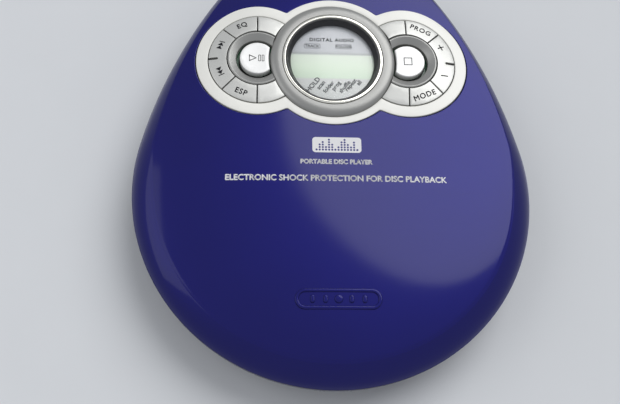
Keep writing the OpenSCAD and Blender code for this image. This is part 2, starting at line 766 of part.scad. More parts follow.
// Flank of the lid: an arc from nearly upright at the parting line to shallow at the crease.
flank_a0 = 10;
flank_a1 = 45;
function flank_share(t) =
  let (a = flank_a0 + (flank_a1 - flank_a0) * t)
    (cos(flank_a0) - cos(a)) / (cos(flank_a0) - cos(flank_a1));
function flank_rise(t) =
  let (a = flank_a0 + (flank_a1 - flank_a0) * t)
    (sin(a) - sin(flank_a0)) / (sin(flank_a1) - sin(flank_a0));
function flank_ring(t, wall) =
  let (line = flank_line(flank_share(t), wall), edge = flank_line(1, wall))
    [for (i = [0:len(line) - 1])
      [line[i][0], line[i][1], lid_low + (dome_z(edge[i]) - wall - lid_low) * flank_rise(t)]];
module lid_skin() {
  outer = flank_line(1, 0);
  inner = flank_line(1, lid_wall);
  hole = panel_hole(outer);
  looped_skin(concat(
    [for (t = [0:0.25:1]) flank_ring(t, 0)],
    [for (t = [0.15, 0.35, 0.6, 0.8, 1]) on_dome(mix(outer, hole, t), 0)],
    [for (t = [1, 0.8, 0.6, 0.35, 0.15]) on_dome(mix(inner, hole, t), lid_wall)],
    [for (t = [1:-0.25:0]) flank_ring(t, lid_wall)]
  ));
}
module lid_shell() {
  color(lid_blue) place() difference() {
    union() {
      lid_skin();
      box([-catch_half, -catch_front, catch_low], [catch_half, -catch_back, lid_low + 3.4]);
      for (p = lid_screw_spots) translate([p[0], p[1], frame_top])
        cylinder(r = 2.6, h = dome_z(p) - lid_wall / 2 - frame_top);
    }
    for (p = lid_screw_spots) translate([p[0], p[1], 0])
      cylinder(r = shank_r, h = dome_z(p) - 0.7);
  }
}

// The frame inside the lid: a plate over the disc, a cup over the hub and the hinge barrel.
cup_r = 19.5;
cup_roof = 0.6;
cup_top = frame_top + 1.7;
// Share of the dome's width within which the plate stays clear of the dome's inside.
frame_share = pow(min(1, 1 - (frame_top + 0.5 + lid_wall - crease_z) / dome_h), 0.25);
module lid_frame() {
  color(deck_grey) place() difference() {
    union() {
      translate([0, 0, frame_z]) linear_extrude(frame_t) intersection() {
        polygon(flank_line(1, lid_wall + 1.5));
        polygon([for (a = [0:3:357]) [0, dome_y] + frame_share * [dome_a * cos(a), dome_b * sin(a)]]);
      }
      translate([0, 0, frame_z]) cylinder(r = cup_r + 1.2, h = cup_top + cup_roof - frame_z);
      for (x = [-16, 16], y = [-14, 14]) translate([x, panel_y + y, frame_z])
        cylinder(r = 2, h = frame_t + board_pad);
      intersection() {
        union() {
          rod_x_way(-barrel_half, barrel_half, hinge_y, hinge_z, barrel_r);
          box([-barrel_half, hinge_y - barrel_r, hinge_z], [barrel_half, hinge_y, frame_z + 0.3]);
          box([-barrel_half, hinge_y - tiny, hinge_z], [barrel_half, hinge_y + 1.6, frame_top - 1.2]);
        }
        union() {
          box([-far, 0, 0], [far, barrel_back - lid_wall - 0.1, lid_low + 1.2]);
          linear_extrude(far) polygon(flank_line(1, lid_wall + 0.3));
        }
      }
    }
    cylinder(r = cup_r, h = cup_top);
    rod_x_way(-far, far, hinge_y, hinge_z, hinge_pin_r + run);
    rod_x_way(barrel_half - 4, far, hinge_y, hinge_z, 3.2);
    for (p = lid_screw_spots) translate([p[0], p[1], 0]) {
      cylinder(r = shank_r + 0.2, h = far);
      cylinder(r = 2.5, h = frame_z + 0.5);
    }
  }
}
module lid_screws() {
  seat = frame_z - 0.3;
  head_h = 0.8;
  color(steel) place() for (p = lid_screw_spots) translate([p[0], p[1], seat])
    screw(head_r - 0.2, head_h, dome_z(p) - 1 - seat - head_h);
}

// Plan shapes of the panel and its keys, drawn from the middle of the display.
module panel_plan(grow) {
  circle(r = panel_r + grow, $fn = 120);
  for (s = [-1, 1]) translate([s * lobe_x, 0]) circle(r = lobe_r + grow, $fn = 120);
}
module wedge(from, to) {
  mid = (from + to) / 2;
  polygon([[0, 0], 40 * unit(from), 60 * unit(mid), 40 * unit(to)]);
}
// The part of a key ring between two directions, clear of its neighbours and of the bezel.
module key_plan(side, from, to) {
  cut = key_gap / 2 + 0.1;
  difference() {
    translate([side * lobe_x, 0]) difference() {
      intersection() {
        circle(r = keys_r - key_gap / 2, $fn = 120);
        wedge(from, to);
      }
      circle(r = keys_in + key_gap / 2, $fn = 120);
      for (a = [from, to]) rotate(a) translate([0, -cut]) square([30, 2 * cut]);
    }
    circle(r = bezel_r + 2 * key_gap, $fn = 120);
  }
}
module keyway_plan(side) {
  translate([side * lobe_x, 0]) {
    difference() {
      circle(r = keys_r + key_gap / 2, $fn = 120);
      translate([-side * 50, 0]) square(100, center = true);
    }
    circle(r = keys_in + key_gap / 2, $fn = 120);
  }
}
module on_panel(z) {
  place() translate([0, panel_y, z]) children();
}
module control_panel() {
  color(panel_silver) {
    on_panel(panel_low) linear_extrude(panel_t) difference() {
      panel_plan(0);
      circle(r = bezel_r + 0.1, $fn = 120);
      for (s = [-1, 1]) keyway_plan(s);
    }
    on_panel(frame_top) for (s = [-1, 1], a = [-62, 0, 62])
      translate([s * (lobe_x + 19.2 * cos(a)), 19.2 * sin(a), 0])
        cylinder(r = 1.2, h = panel_low - frame_top + tiny);
  }
}
module bezel_ring() {
  rise = 1.5;
  color(soft_grey) on_panel(panel_low) rotate_extrude($fn = 120) polygon([
    [bright_in + 0.1, -0.6], [bezel_r, -0.6], [bezel_r, panel_t + 0.1], [bezel_r - 0.8, panel_t + 0.6],
    [bright_r + 0.1, panel_t + rise - 0.2], [bright_r + 0.1, panel_t + rise - 1],
    [bright_in + 0.1, panel_t + rise - 1]
  ]);
}
module bright_ring() {
  low = panel_z + 0.5;
  high = panel_z + 1.7;
  mid = (bright_r + bright_in) / 2;
  color(steel) on_panel(0) rotate_extrude($fn = 120) polygon([
    [bright_in, low], [bright_r, low], [bright_r, high - 0.4], [mid + 0.15, high], [mid - 0.15, high],
    [bright_in, high - 0.4]
  ]);
}
module display_collar() {
  color(dark) on_panel(0) rotate_extrude($fn = 120) polygon([
    [screen_r, panel_low + 0.2], [bright_in - 0.1, panel_low + 0.2], [bright_in - 0.1, panel_z + 1.2],
    [bright_in - 0.5, panel_z + 1.2], [screen_r, panel_low + 0.5]
  ]);
}
module display_window() {
  color([0.8, 0.9, 0.95, 0.4]) on_panel(panel_low - 0.4) cylinder(r = bright_in - 0.1, h = 0.6, $fn = 120);
}
module display_module() {
  color([0.7, 0.85, 0.6]) on_panel(key_board_top)
    cylinder(r = bright_in - 0.2, h = panel_low - 0.4 - key_board_top, $fn = 120);
}
module key_board() {
  color(board_green) on_panel(key_board_z) linear_extrude(board_t) {
    circle(r = 20, $fn = 120);
    for (s = [-1, 1]) translate([s * lobe_x, 0]) circle(r = keys_r + 0.6, $fn = 120);
  }
}

// Where each key presses on the mat, from the middle of the display.
ring_mid = (keys_r + keys_in) / 2;
key_spots = [for (s = [-1, 1]) each concat(
  [[s * (lobe_x + 0.6), 0]],
  [for (a = [-67, -33, 33, 67]) [s * (lobe_x + ring_mid * cos(a)), ring_mid * sin(a)]]
)];
module key_mat() {
  color([0.8, 0.8, 0.78]) on_panel(key_board_top) {
    linear_extrude(mat_t) difference() {
      for (s = [-1, 1]) translate([s * lobe_x, 0]) circle(r = keys_r + 0.4, $fn = 120);
      circle(r = bezel_r + 0.5, $fn = 120);
      for (s = [-1, 1]) translate([s * lobe_x, 0]) difference() {
        circle(r = keys_in);
        circle(r = round_key_r + 0.4);
      }
    }
    for (p = key_spots) translate([p[0], p[1], mat_t - tiny]) cylinder(r = 1.6, h = mat_dome);
  }
}
module key_collars() {
  color(soft_grey) on_panel(0) difference() {
    for (s = [-1, 1]) translate([s * lobe_x, 0, 0]) rotate_extrude($fn = 120) polygon([
      [7.3, key_board_top + tiny], [keys_in - 0.3, key_board_top + tiny], [keys_in - 0.3, key_top + 0.3],
      [keys_in - 0.9, key_top + 0.6], [7.3, key_top - 0.4]
    ]);
    cylinder(r = bezel_r + 0.2, h = far, $fn = 120);
  }
}
module round_key(side) {
  color(panel_silver) on_panel(key_low) linear_extrude(key_top + 0.3 - key_low) difference() {
    translate([side * lobe_x, 0]) circle(r = round_key_r, $fn = 120);
    circle(r = bezel_r + 2 * key_gap, $fn = 120);
  }
}
module ring_key(side, from, to) {
  color(panel_silver) on_panel(key_low) linear_extrude(key_top - key_low) key_plan(side, from, to);
}
module rocker(side, from, to) {
  ring_key(side, from, to);
  x0 = lobe_x + keys_in + 0.8;
  x1 = lobe_x + keys_r - 0.8;
  color(panel_silver) on_panel(key_low - 0.1) scale([side, 1, 1]) rod_x_way(x0, x1, 0, 0, fulcrum_r);
}
module play_key() { round_key(-1); }
module stop_key() { round_key(1); }
module equaliser_key() { ring_key(-1, 90, 135); }
module buffer_key() { ring_key(-1, 225, 270); }
module program_key() { ring_key(1, 45, 90); }
module mode_key() { ring_key(1, -90, -45); }
module skip_rocker() { rocker(-1, 135, 225); }
module volume_rocker() { rocker(1, -45, 45); }

bottom_case();
battery_door();
battery_springs();
battery_plates();
feet();
case_screws();
deck();
main_board();
signal_chip();
memory_chip();
driver_chip();
capacitors();
flex_connector();
flex_cable();
phone_jack();
line_jack();
power_socket();
power_pin();
hold_knob();
open_slider();
slider_spring();
lid_sensor_pin();
drive_chassis();
dampers();
chassis_screws();
spindle_motor();
spindle_shaft();
turntable();
guide_rods();
pickup_sled();
lens_holder();
objective_lens();
lead_screw();
sled_motor();
hinge_pin();
lid_spring();
lid_shell();
lid_frame();
lid_screws();
control_panel();
bezel_ring();
bright_ring();
display_collar();
display_window();
display_module();
key_board();
key_mat();
key_collars();
play_key();
stop_key();
equaliser_key();
buffer_key();
program_key();
mode_key();
skip_rocker();
volume_rocker();
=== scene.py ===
"""Looks of a portable disc player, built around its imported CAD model."""

import math
import json

import bmesh
import bpy
import numpy as np
from mathutils import Matrix, Vector
from mathutils.geometry import delaunay_2d_cdt


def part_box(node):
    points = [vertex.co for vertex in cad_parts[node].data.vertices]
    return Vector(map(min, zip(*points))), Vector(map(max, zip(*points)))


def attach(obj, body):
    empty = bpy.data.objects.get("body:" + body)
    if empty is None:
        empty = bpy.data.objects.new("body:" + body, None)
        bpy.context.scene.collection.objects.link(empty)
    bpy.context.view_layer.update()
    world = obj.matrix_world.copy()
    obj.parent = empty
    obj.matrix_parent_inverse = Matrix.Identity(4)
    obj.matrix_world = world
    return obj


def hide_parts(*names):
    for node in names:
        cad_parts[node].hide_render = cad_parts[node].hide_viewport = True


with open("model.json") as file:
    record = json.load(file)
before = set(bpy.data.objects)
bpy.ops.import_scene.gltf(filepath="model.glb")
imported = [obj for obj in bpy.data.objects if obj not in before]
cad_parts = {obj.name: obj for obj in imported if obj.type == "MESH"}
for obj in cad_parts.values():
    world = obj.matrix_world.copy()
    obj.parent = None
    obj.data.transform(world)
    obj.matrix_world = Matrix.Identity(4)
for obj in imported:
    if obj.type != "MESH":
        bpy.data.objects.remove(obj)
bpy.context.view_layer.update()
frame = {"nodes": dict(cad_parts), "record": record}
scene = bpy.context.scene

# ---------------------------------------------------------------------------------------------
# Sizes, in millimetres from the disc's axis, as in the CAD model. Z is measured from the table.
MM = 0.001
AXIS = (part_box("turntable")[0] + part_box("turntable")[1]) / 2
SHELL_LOW, SHELL_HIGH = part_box("lid_shell")
PANEL_LOW, PANEL_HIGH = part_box("control_panel")
BEZEL_LOW, BEZEL_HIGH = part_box("bezel_ring")

# Case and lid
BELT_R = SHELL_HIGH.x / MM
SIDE_R = 185.0
SIDE_FROM = 13.4
SIDE_TO = 33.5
CORNER_R = 24.0
TAIL_R = 300.0
FLANK_IN = 7.3
FLANK_IN_TAIL = 3.2
BOTTOM_IN = 12.0
FLANK_H = 6.7
DOME_H = 3.2
BELT_GAP = 0.3
LID_WALL = 1.6
CASE_WALL = 1.6
FOOT_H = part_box("feet")[1].z / MM
BELT_Z = 16.8
CASE_TOP = BELT_Z - BELT_GAP / 2
LID_LOW = BELT_Z + BELT_GAP / 2
CREASE_Z = BELT_Z + FLANK_H
FLANK_A0 = 10.0
FLANK_A1 = 45.0

# Control panel, bezel and keys
PANEL_Y = ((BEZEL_LOW + BEZEL_HIGH) / 2 - AXIS).y / MM
PANEL_Z = PANEL_HIGH.z / MM
PANEL_R = 24.6
LOBE_R = 21.3
LOBE_X = 26.3
PANEL_GAP = 0.4
BEZEL_R = 21.8
BRIGHT_R = 17.5
BRIGHT_IN = 16.4
SCREEN_R = 14.7
KEYS_R = 17.1
KEYS_IN = 10.6
ROUND_KEY_R = 6.1
RING_GAP = 0.15
KEY_GAP = 0.23
LEGEND_R = 13.9
KEY_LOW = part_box("play_key")[0].z / MM
MAT_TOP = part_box("key_mat")[1].z / MM

# Hinge
PIN_R = 1.5
EAR_R = 3.6
EAR_IN = 18.4
EAR_OUT = 22.4
TROUGH_R = 7.2
TROUGH_WALL = 1.2

# Battery bay, case screws and sockets
CELLS_HALF = 29.6
CELLS_NEAR = 16.5
CELLS_FAR = 47.5
BAY_WALL = 1.3
BAY_TOP = 16.9
SCREW_SPOTS = ((49, -18), (48.5, 23), (33, 56))
BOSS_R = 3.4
BOSS_H = 7.0
HEAD_R = 2.6
FLAT_X = BELT_R - 5
FLAT_WALL = 1.8
FLAT_LOW = 3.6
SOCKET_Z = 8.4
SOCKETS = (-11, -1, 9)
SOCKET_HOLE_R = 3.2


def unit(a):
    """The direction a degrees round from the x axis."""
    return np.array([math.cos(math.radians(a)), math.sin(math.radians(a))])


# ---------------------------------------------------------------------------------------------
# Outline of the case: four arcs on each side, each running smoothly into the next.
SIDE_C = (BELT_R - SIDE_R) * unit(SIDE_FROM)
CORNER_C = SIDE_C + (SIDE_R - CORNER_R) * unit(SIDE_TO)
TAIL_FROM = math.degrees(math.acos(CORNER_C[0] / (TAIL_R - CORNER_R)))
TAIL_C = CORNER_C + (CORNER_R - TAIL_R) * unit(TAIL_FROM)
TAIL_Y = TAIL_C[1] + TAIL_R
DOME_A = BELT_R - FLANK_IN
DOME_B = (TAIL_Y - FLANK_IN_TAIL + DOME_A) / 2
DOME_Y = (TAIL_Y - FLANK_IN_TAIL - DOME_A) / 2


def stations():
    """Centre, radius and direction of each point of one half of the outline."""
    arcs = [
        (np.zeros(2), BELT_R, -90, 0, 48),
        (np.zeros(2), BELT_R, 0, SIDE_FROM, 8),
        (SIDE_C, SIDE_R, SIDE_FROM, SIDE_TO, 30),
        (CORNER_C, CORNER_R, SIDE_TO, TAIL_FROM, 24),
        (TAIL_C, TAIL_R, TAIL_FROM, 90, 10),
    ]
    half = [(c, r, a0 + (a1 - a0) * i / n) for c, r, a0, a1, n in arcs for i in range(n)]
    return half + [(TAIL_C, TAIL_R, 90)]


STATIONS = stations()


def mirrored(half):
    return half + [(-x, y) for x, y in half[-2:0:-1]]


def outline(d):
    """The outline moved in by the same distance all round."""
    return mirrored([tuple(c + (r - d) * unit(a)) for c, r, a in STATIONS])


def flank_width(a):
    """The lid's sloping flank is wide round the disc and narrows towards the hinge."""
    t = min(1, max(0, (a + 8) / 44))
    return FLANK_IN + (FLANK_IN_TAIL - FLANK_IN) * t * t * (3 - 2 * t)


def flank_line(share, d):
    """The outline moved in by a share of the flank's width, and by d besides."""
    return mirrored([tuple(c + (r - share * flank_width(a) - d) * unit(a)) for c, r, a in STATIONS])


def dome_z(x, y):
    q2 = (x / DOME_A) ** 2 + ((y - DOME_Y) / DOME_B) ** 2
    return CREASE_Z + DOME_H * (1 - q2 * q2)


def smooth_step(t):
    t = min(1.0, max(0.0, t))
    return t * t * (3 - 2 * t)


def panel_top(x, y):
    """The panel is level in the middle and follows the dome towards its outer ends."""
    w = smooth_step((abs(x) - 21) / 24)
    return PANEL_Z * (1 - w) + (dome_z(x, y) + 0.35) * w


def place(x, y, z):
    """A point of these sizes in the frame's metres."""
    return Vector((x * MM + AXIS.x, y * MM + AXIS.y, z * MM))


# ---------------------------------------------------------------------------------------------
# Meshes
def make_object(name, verts, faces, material=None, sharp=34):
    mesh = bpy.data.meshes.new(name)
    mesh.from_pydata([place(*v) for v in verts], [], faces)
    mesh.validate()
    obj = bpy.data.objects.new(name, mesh)
    scene.collection.objects.link(obj)
    tidy_mesh(obj)
    shade(obj, sharp)
    if material:
        mesh.materials.append(material)
    return obj


def tidy_mesh(obj):
    """Joins points that meet and turns every face outwards."""
    work = bmesh.new()
    work.from_mesh(obj.data)
    bmesh.ops.remove_doubles(work, verts=work.verts, dist=2e-7)
    bmesh.ops.recalc_face_normals(work, faces=work.faces)
    work.to_mesh(obj.data)
    work.free()


def shade(obj, sharp):
    obj.data.polygons.foreach_set("use_smooth", [True] * len(obj.data.polygons))
    obj.data.set_sharp_from_angle(angle=math.radians(sharp))


def piece(obj, body, slot, *nodes):
    """Attaches a finished piece to its body and hides the CAD nodes it stands for. The slot is not used."""
    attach(obj, body)
    if nodes:
        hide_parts(*nodes)
    return obj


def loft(rings, looped=False, capped=False):
    """Vertices and faces of a skin through rings of equal length."""
    n = len(rings[0])
    verts = [v for ring in rings for v in ring]
    pairs = [(j, j + 1) for j in range(len(rings) - 1)]
    if looped:
        pairs.append((len(rings) - 1, 0))
    faces = []
    for j, k in pairs:
        for i in range(n):
            m = (i + 1) % n
            faces.append((j * n + i, j * n + m, k * n + m, k * n + i))
    if capped:
        faces.append(tuple(range(n - 1, -1, -1)))
        faces.append(tuple(range(len(verts) - n, len(verts))))
    return verts, faces


def at_height(line, z):
    return [(x, y, z) for x, y in line]


def revolve(profile, centre, steps=144):
    """A closed profile of (radius, z) turned about the upright line through centre."""
    rings = []
    for i in range(steps):
        c, s = unit(360 * i / steps)
        rings.append([(centre[0] + r * c, centre[1] + r * s, z) for r, z in profile])
    n = len(profile)
    verts = [v for ring in rings for v in ring]
    faces = []
    for i in range(steps):
        j = (i + 1) % steps
        for k in range(n):
            m = (k + 1) % n
            faces.append((i * n + k, j * n + k, j * n + m, i * n + m))
    return verts, faces


def rounded(points, radius, steps=5):
    """A closed profile with each corner replaced by a short curve."""
    out = []
    n = len(points)
    for i in range(n):
        a, b, c = (np.array(points[(i + k) % n], float) for k in (-1, 0, 1))
        reach = min(radius, np.linalg.norm(a - b) * 0.45, np.linalg.norm(c - b) * 0.45)
        p = b + (a - b) / np.linalg.norm(a - b) * reach
        q = b + (c - b) / np.linalg.norm(c - b) * reach
        for k in range(steps + 1):
            t = k / steps
            out.append(tuple((1 - t) ** 2 * p + 2 * t * (1 - t) * b + t * t * q))
    return out


def arc_points(centre, r, a0, a1, step=2.0):
    n = max(2, int(abs(a1 - a0) / step) + 1)
    return [tuple(np.array(centre) + r * unit(a0 + (a1 - a0) * i / (n - 1))) for i in range(n)]


def circle_points(centre, r, n=144):
    return [tuple(np.array(centre) + r * unit(360 * i / n)) for i in range(n)]


def signed_area(loop):
    p = np.array(loop)
    q = np.roll(p, -1, axis=0)
    return 0.5 * np.sum(p[:, 0] * q[:, 1] - q[:, 0] * p[:, 1])


def turned(loop, anticlockwise=True):
    """The loop, run the way that is asked for."""
    return loop if (signed_area(loop) > 0) == anticlockwise else loop[::-1]


def inset(loop, d):
    """Moves a closed loop to its left by d, keeping its corners mitred."""
    p = np.array(loop)
    before = p - np.roll(p, 1, axis=0)
    after = np.roll(p, -1, axis=0) - p
    before /= np.linalg.norm(before, axis=1)[:, None]
    after /= np.linalg.norm(after, axis=1)[:, None]
    n0 = np.stack([-before[:, 1], before[:, 0]], axis=1)
    n1 = np.stack([-after[:, 1], after[:, 0]], axis=1)
    mid = n0 + n1
    mid /= np.maximum(np.linalg.norm(mid, axis=1), 1e-6)[:, None]
    stretch = 1 / np.maximum(np.sum(mid * n0, axis=1), 0.5)
    return [tuple(v) for v in p + mid * (d * stretch)[:, None]]


def inside(points, loops):
    """Whether each point lies in the region that the loops bound (even-odd)."""
    points = np.array(points, float).reshape(-1, 2)
    hits = np.zeros(len(points), bool)
    for loop in loops:
        a = np.array(loop)
        b = np.roll(a, -1, axis=0)
        for (x0, y0), (x1, y1) in zip(a, b):
            if y0 == y1:
                continue
            crosses = (y0 > points[:, 1]) != (y1 > points[:, 1])
            x = x0 + (points[:, 1] - y0) * (x1 - x0) / (y1 - y0)
            hits ^= crosses & (points[:, 0] < x)
    return hits


def fill(loops, cell=None):
    """Triangles over the region between loops, with extra points every cell millimetres."""
    points = [p for loop in loops for p in loop]
    edges = []
    start = 0
    for loop in loops:
        n = len(loop)
        edges += [(start + i, start + (i + 1) % n) for i in range(n)]
        start += n
    if cell:
        edge_points = np.array(points)
        low = edge_points.min(0)
        high = edge_points.max(0)
        xs = np.arange(low[0] + cell / 2, high[0], cell)
        ys = np.arange(low[1] + cell / 2, high[1], cell)
        grid = np.array([(x, y) for x in xs for y in ys]).reshape(-1, 2)
        if len(grid):
            grid = grid[inside(grid, loops)]
        if len(grid):
            gap = np.array([np.min(np.hypot(*(edge_points - g).T)) for g in grid])
            points += [tuple(g) for g in grid[gap > cell * 0.45]]
    out, _, faces, _, _, _ = delaunay_2d_cdt([Vector(p) for p in points], edges, [], 0, 1e-6)
    out = [(v.x, v.y) for v in out]
    middles = [np.mean([out[i] for i in f], axis=0) for f in faces]
    keep = inside(middles, loops)
    return out, [tuple(f) for f, k in zip(faces, keep) if k]


def plate_mesh(loops, top, low, edge=0.25, cell=None, segments=4):
    """A plate over the region between loops (outer first), with rounded upper edges.

    top(x, y) is the height of its upper face and low that of its flat underside."""
    loops = [turned(loops[0], True)] + [turned(loop, False) for loop in loops[1:]]
    verts = []
    faces = []
    inner_loops = []
    for loop in loops:
        rings = [at_height(loop, low)]
        for k in range(segments + 1):
            a = 90 * k / segments
            c, s = unit(a)
            line = inset(loop, edge * (1 - c))
            rings.append([(x, y, top(x, y) - edge * (1 - s)) for x, y in line])
        inner_loops.append([(x, y) for x, y, _ in rings[-1]])
        v, f = loft(rings)
        faces += [tuple(i + len(verts) for i in face) for face in f]
        verts += v
    points, triangles = fill(inner_loops, cell)
    start = len(verts)
    verts += [(x, y, top(x, y)) for x, y in points]
    faces += [tuple(i + start for i in t) for t in triangles]
    points, triangles = fill(loops)
    start = len(verts)
    verts += [(x, y, low) for x, y in points]
    faces += [tuple(i + start for i in t[::-1]) for t in triangles]
    return verts, faces


def joined(parts):
    verts = []
    faces = []
    for v, f in parts:
        faces += [tuple(i + len(verts) for i in face) for face in f]
        verts += v
    return verts, faces


def box_mesh(low, high):
    x0, y0, z0 = low
    x1, y1, z1 = high
    return loft(
        [at_height([(x0, y0), (x1, y0), (x1, y1), (x0, y1)], z) for z in (z0, z1)], capped=True
    )


def rod_mesh(start, end, r, n=96):
    """A round bar between two points."""
    a, b = np.array(start, float), np.array(end, float)
    way = (b - a) / np.linalg.norm(b - a)
    side = np.cross(way, [0, 0, 1]) if abs(way[2]) < 0.9 else np.cross(way, [1, 0, 0])
    side /= np.linalg.norm(side)
    up = np.cross(way, side)
    rings = []
    for p in (a, b):
        rings.append([tuple(p + r * (c * side + s * up)) for c, s in (unit(360 * i / n) for i in range(n))])
    return loft(rings, capped=True)


def combine(obj, operation, *parts):
    """Applies one boolean with each part, a mesh or a helper object, and removes the part."""
    for part in parts:
        other = part if isinstance(part, bpy.types.Object) else make_object("cutter", *part)
        modifier = obj.modifiers.new("boolean", "BOOLEAN")
        modifier.operation = operation
        modifier.solver = "MANIFOLD"
        modifier.object = other
        bpy.context.view_layer.update()
        graph = bpy.context.evaluated_depsgraph_get()
        mesh = bpy.data.meshes.new_from_object(obj.evaluated_get(graph))
        # Cut faces take the object's own finish.
        mesh.polygons.foreach_set("material_index", [0] * len(mesh.polygons))
        obj.modifiers.remove(modifier)
        old = obj.data
        obj.data = mesh
        bpy.data.meshes.remove(old)
        bpy.data.objects.remove(other)
    return obj


# ---------------------------------------------------------------------------------------------
# Materials
def material(name, color, rough, metallic=0.0, coat=0.0, coat_rough=0.05, mottle=0.06, wear=0.10,
             grain=0.02, grain_scale=900.0, streaks=None, specular=0.5, alpha=1.0, scuffs=0.0):
    """A procedural finish: uneven tone, uneven gloss and a fine surface grain."""
    m = bpy.data.materials.new(name)
    m.use_nodes = True
    nodes, links = m.node_tree.nodes, m.node_tree.links
    shader = nodes["Principled BSDF"]
    shader.inputs["Metallic"].default_value = metallic
    shader.inputs["Specular IOR Level"].default_value = specular
    shader.inputs["Coat Weight"].default_value = coat
    shader.inputs["Coat Roughness"].default_value = coat_rough
    shader.inputs["Alpha"].default_value = alpha
    where = nodes.new("ShaderNodeTexCoord")
    spread = nodes.new("ShaderNodeMapping")
    spread.inputs["Scale"].default_value = streaks or (1, 1, 1)
    links.new(where.outputs["Object"], spread.inputs["Vector"])

    broad = nodes.new("ShaderNodeTexNoise")
    broad.inputs["Scale"].default_value = 45
    broad.inputs["Detail"].default_value = 5
    links.new(where.outputs["Object"], broad.inputs["Vector"])
    tone = nodes.new("ShaderNodeMapRange")
    tone.inputs["To Min"].default_value = 1 - mottle
    tone.inputs["To Max"].default_value = 1 + mottle
    links.new(broad.outputs["Fac"], tone.inputs["Value"])
    tint = nodes.new("ShaderNodeMix")
    tint.data_type = "RGBA"
    tint.blend_type = "MULTIPLY"
    tint.inputs["Factor"].default_value = 1
    tint.inputs["A"].default_value = (*color, 1)
    links.new(tone.outputs["Result"], tint.inputs["B"])
    links.new(tint.outputs["Result"], shader.inputs["Base Color"])

    fine = nodes.new("ShaderNodeTexNoise")
    fine.inputs["Scale"].default_value = grain_scale
    fine.inputs["Detail"].default_value = 6
    links.new(spread.outputs["Vector"], fine.inputs["Vector"])
    gloss = nodes.new("ShaderNodeMapRange")
    gloss.inputs["To Min"].default_value = max(0.02, rough - wear)
    gloss.inputs["To Max"].default_value = min(1, rough + wear)
    if scuffs:
        marks = nodes.new("ShaderNodeTexVoronoi")
        marks.feature = "DISTANCE_TO_EDGE"
        marks.inputs["Scale"].default_value = 120
        stretch = nodes.new("ShaderNodeMapping")
        stretch.inputs["Scale"].default_value = (0.3, 1.6, 1)
        stretch.inputs["Rotation"].default_value = (0, 0, 0.5)
        links.new(where.outputs["Object"], stretch.inputs["Vector"])
        links.new(stretch.outputs["Vector"], marks.inputs["Vector"])
        thin = nodes.new("ShaderNodeMapRange")
        thin.inputs["From Max"].default_value = 0.012
        thin.inputs["To Min"].default_value = scuffs
        thin.inputs["To Max"].default_value = 0
        links.new(marks.outputs["Distance"], thin.inputs["Value"])
        total = nodes.new("ShaderNodeMath")
        total.operation = "ADD"
        links.new(gloss.outputs["Result"], total.inputs[0])
        links.new(thin.outputs["Result"], total.inputs[1])
        links.new(total.outputs["Value"], shader.inputs["Roughness"])
    else:
        links.new(gloss.outputs["Result"], shader.inputs["Roughness"])
    links.new(broad.outputs["Fac"], gloss.inputs["Value"])
    bump = nodes.new("ShaderNodeBump")
    bump.inputs["Strength"].default_value = grain
    bump.inputs["Distance"].default_value = 0.0002
    links.new(fine.outputs["Fac"], bump.inputs["Height"])
    links.new(bump.outputs["Normal"], shader.inputs["Normal"])
    return m


LACQUER = material("lacquer", (0.002, 0.002, 0.115), 0.40, metallic=0.60, coat=0.48, coat_rough=0.09,
                   mottle=0.05, wear=0.05, grain=0.05, grain_scale=350, scuffs=0.05, specular=0.10)
CASE = material("case_plastic", (0.010, 0.009, 0.055), 0.36, coat=0.4, coat_rough=0.15, mottle=0.08,
                wear=0.08, grain=0.10, grain_scale=1800)
SILVER = material("panel_silver", (0.86, 0.855, 0.81), 0.40, metallic=0.08, mottle=0.03, wear=0.06,
                  grain=0.06, grain_scale=2600, coat=0.12, coat_rough=0.25)
KEY_SILVER = material("key_silver", (0.58, 0.58, 0.555), 0.42, metallic=0.65, mottle=0.04, wear=0.07,
                      grain=0.07, grain_scale=2600)
ROUND_SILVER = material("round_key_silver", (0.90, 0.90, 0.89), 0.30, metallic=0.15, mottle=0.03,
                        wear=0.06, grain=0.05, grain_scale=2600, coat=0.3, coat_rough=0.15)
BEZEL = material("bezel_grey", (0.31, 0.31, 0.298), 0.36, metallic=0.6, mottle=0.04, wear=0.06,
                 grain=0.08, grain_scale=2200)
BRIGHT = material("bright_trim", (0.86, 0.84, 0.76), 0.12, metallic=1.0, mottle=0.02, wear=0.04,
                  grain=0.02, grain_scale=1500)
BLACK = material("black_plastic", (0.015, 0.015, 0.017), 0.40, mottle=0.10, wear=0.10, grain=0.15,
                 grain_scale=2400)
GREY = material("grey_plastic", (0.055, 0.057, 0.065), 0.48, mottle=0.08, wear=0.10, grain=0.25,
                grain_scale=2600)
KNOB = material("knob_grey", (0.30, 0.31, 0.33), 0.38, metallic=0.3, mottle=0.05, wear=0.08,
                grain=0.10, grain_scale=2400)
STEEL = material("steel", (0.56, 0.57, 0.59), 0.30, metallic=1.0, mottle=0.06, wear=0.10, grain=0.12,
                 grain_scale=700, streaks=(1, 12, 1))
SPRING = material("spring_steel", (0.50, 0.50, 0.51), 0.25, metallic=1.0, mottle=0.08, wear=0.10,
                  grain=0.10, grain_scale=1500)
BOARD = material("board_green", (0.02, 0.12, 0.05), 0.32, mottle=0.18, wear=0.10, grain=0.30,
                 grain_scale=600, coat=0.3)
CHIP = material("chip_black", (0.022, 0.022, 0.023), 0.55, mottle=0.10, wear=0.08, grain=0.20,
                grain_scale=3000)
COPPER = material("copper_film", (0.50, 0.24, 0.06), 0.35, mottle=0.10, wear=0.08, grain=0.15,
                  grain_scale=500, streaks=(14, 1, 1))
RUBBER = material("rubber", (0.02, 0.02, 0.021), 0.75, mottle=0.12, wear=0.10, grain=0.35,
                  grain_scale=1800)
SILICONE = material("silicone", (0.03, 0.03, 0.032), 0.65, mottle=0.08, wear=0.08, grain=0.2,
                    grain_scale=1800)
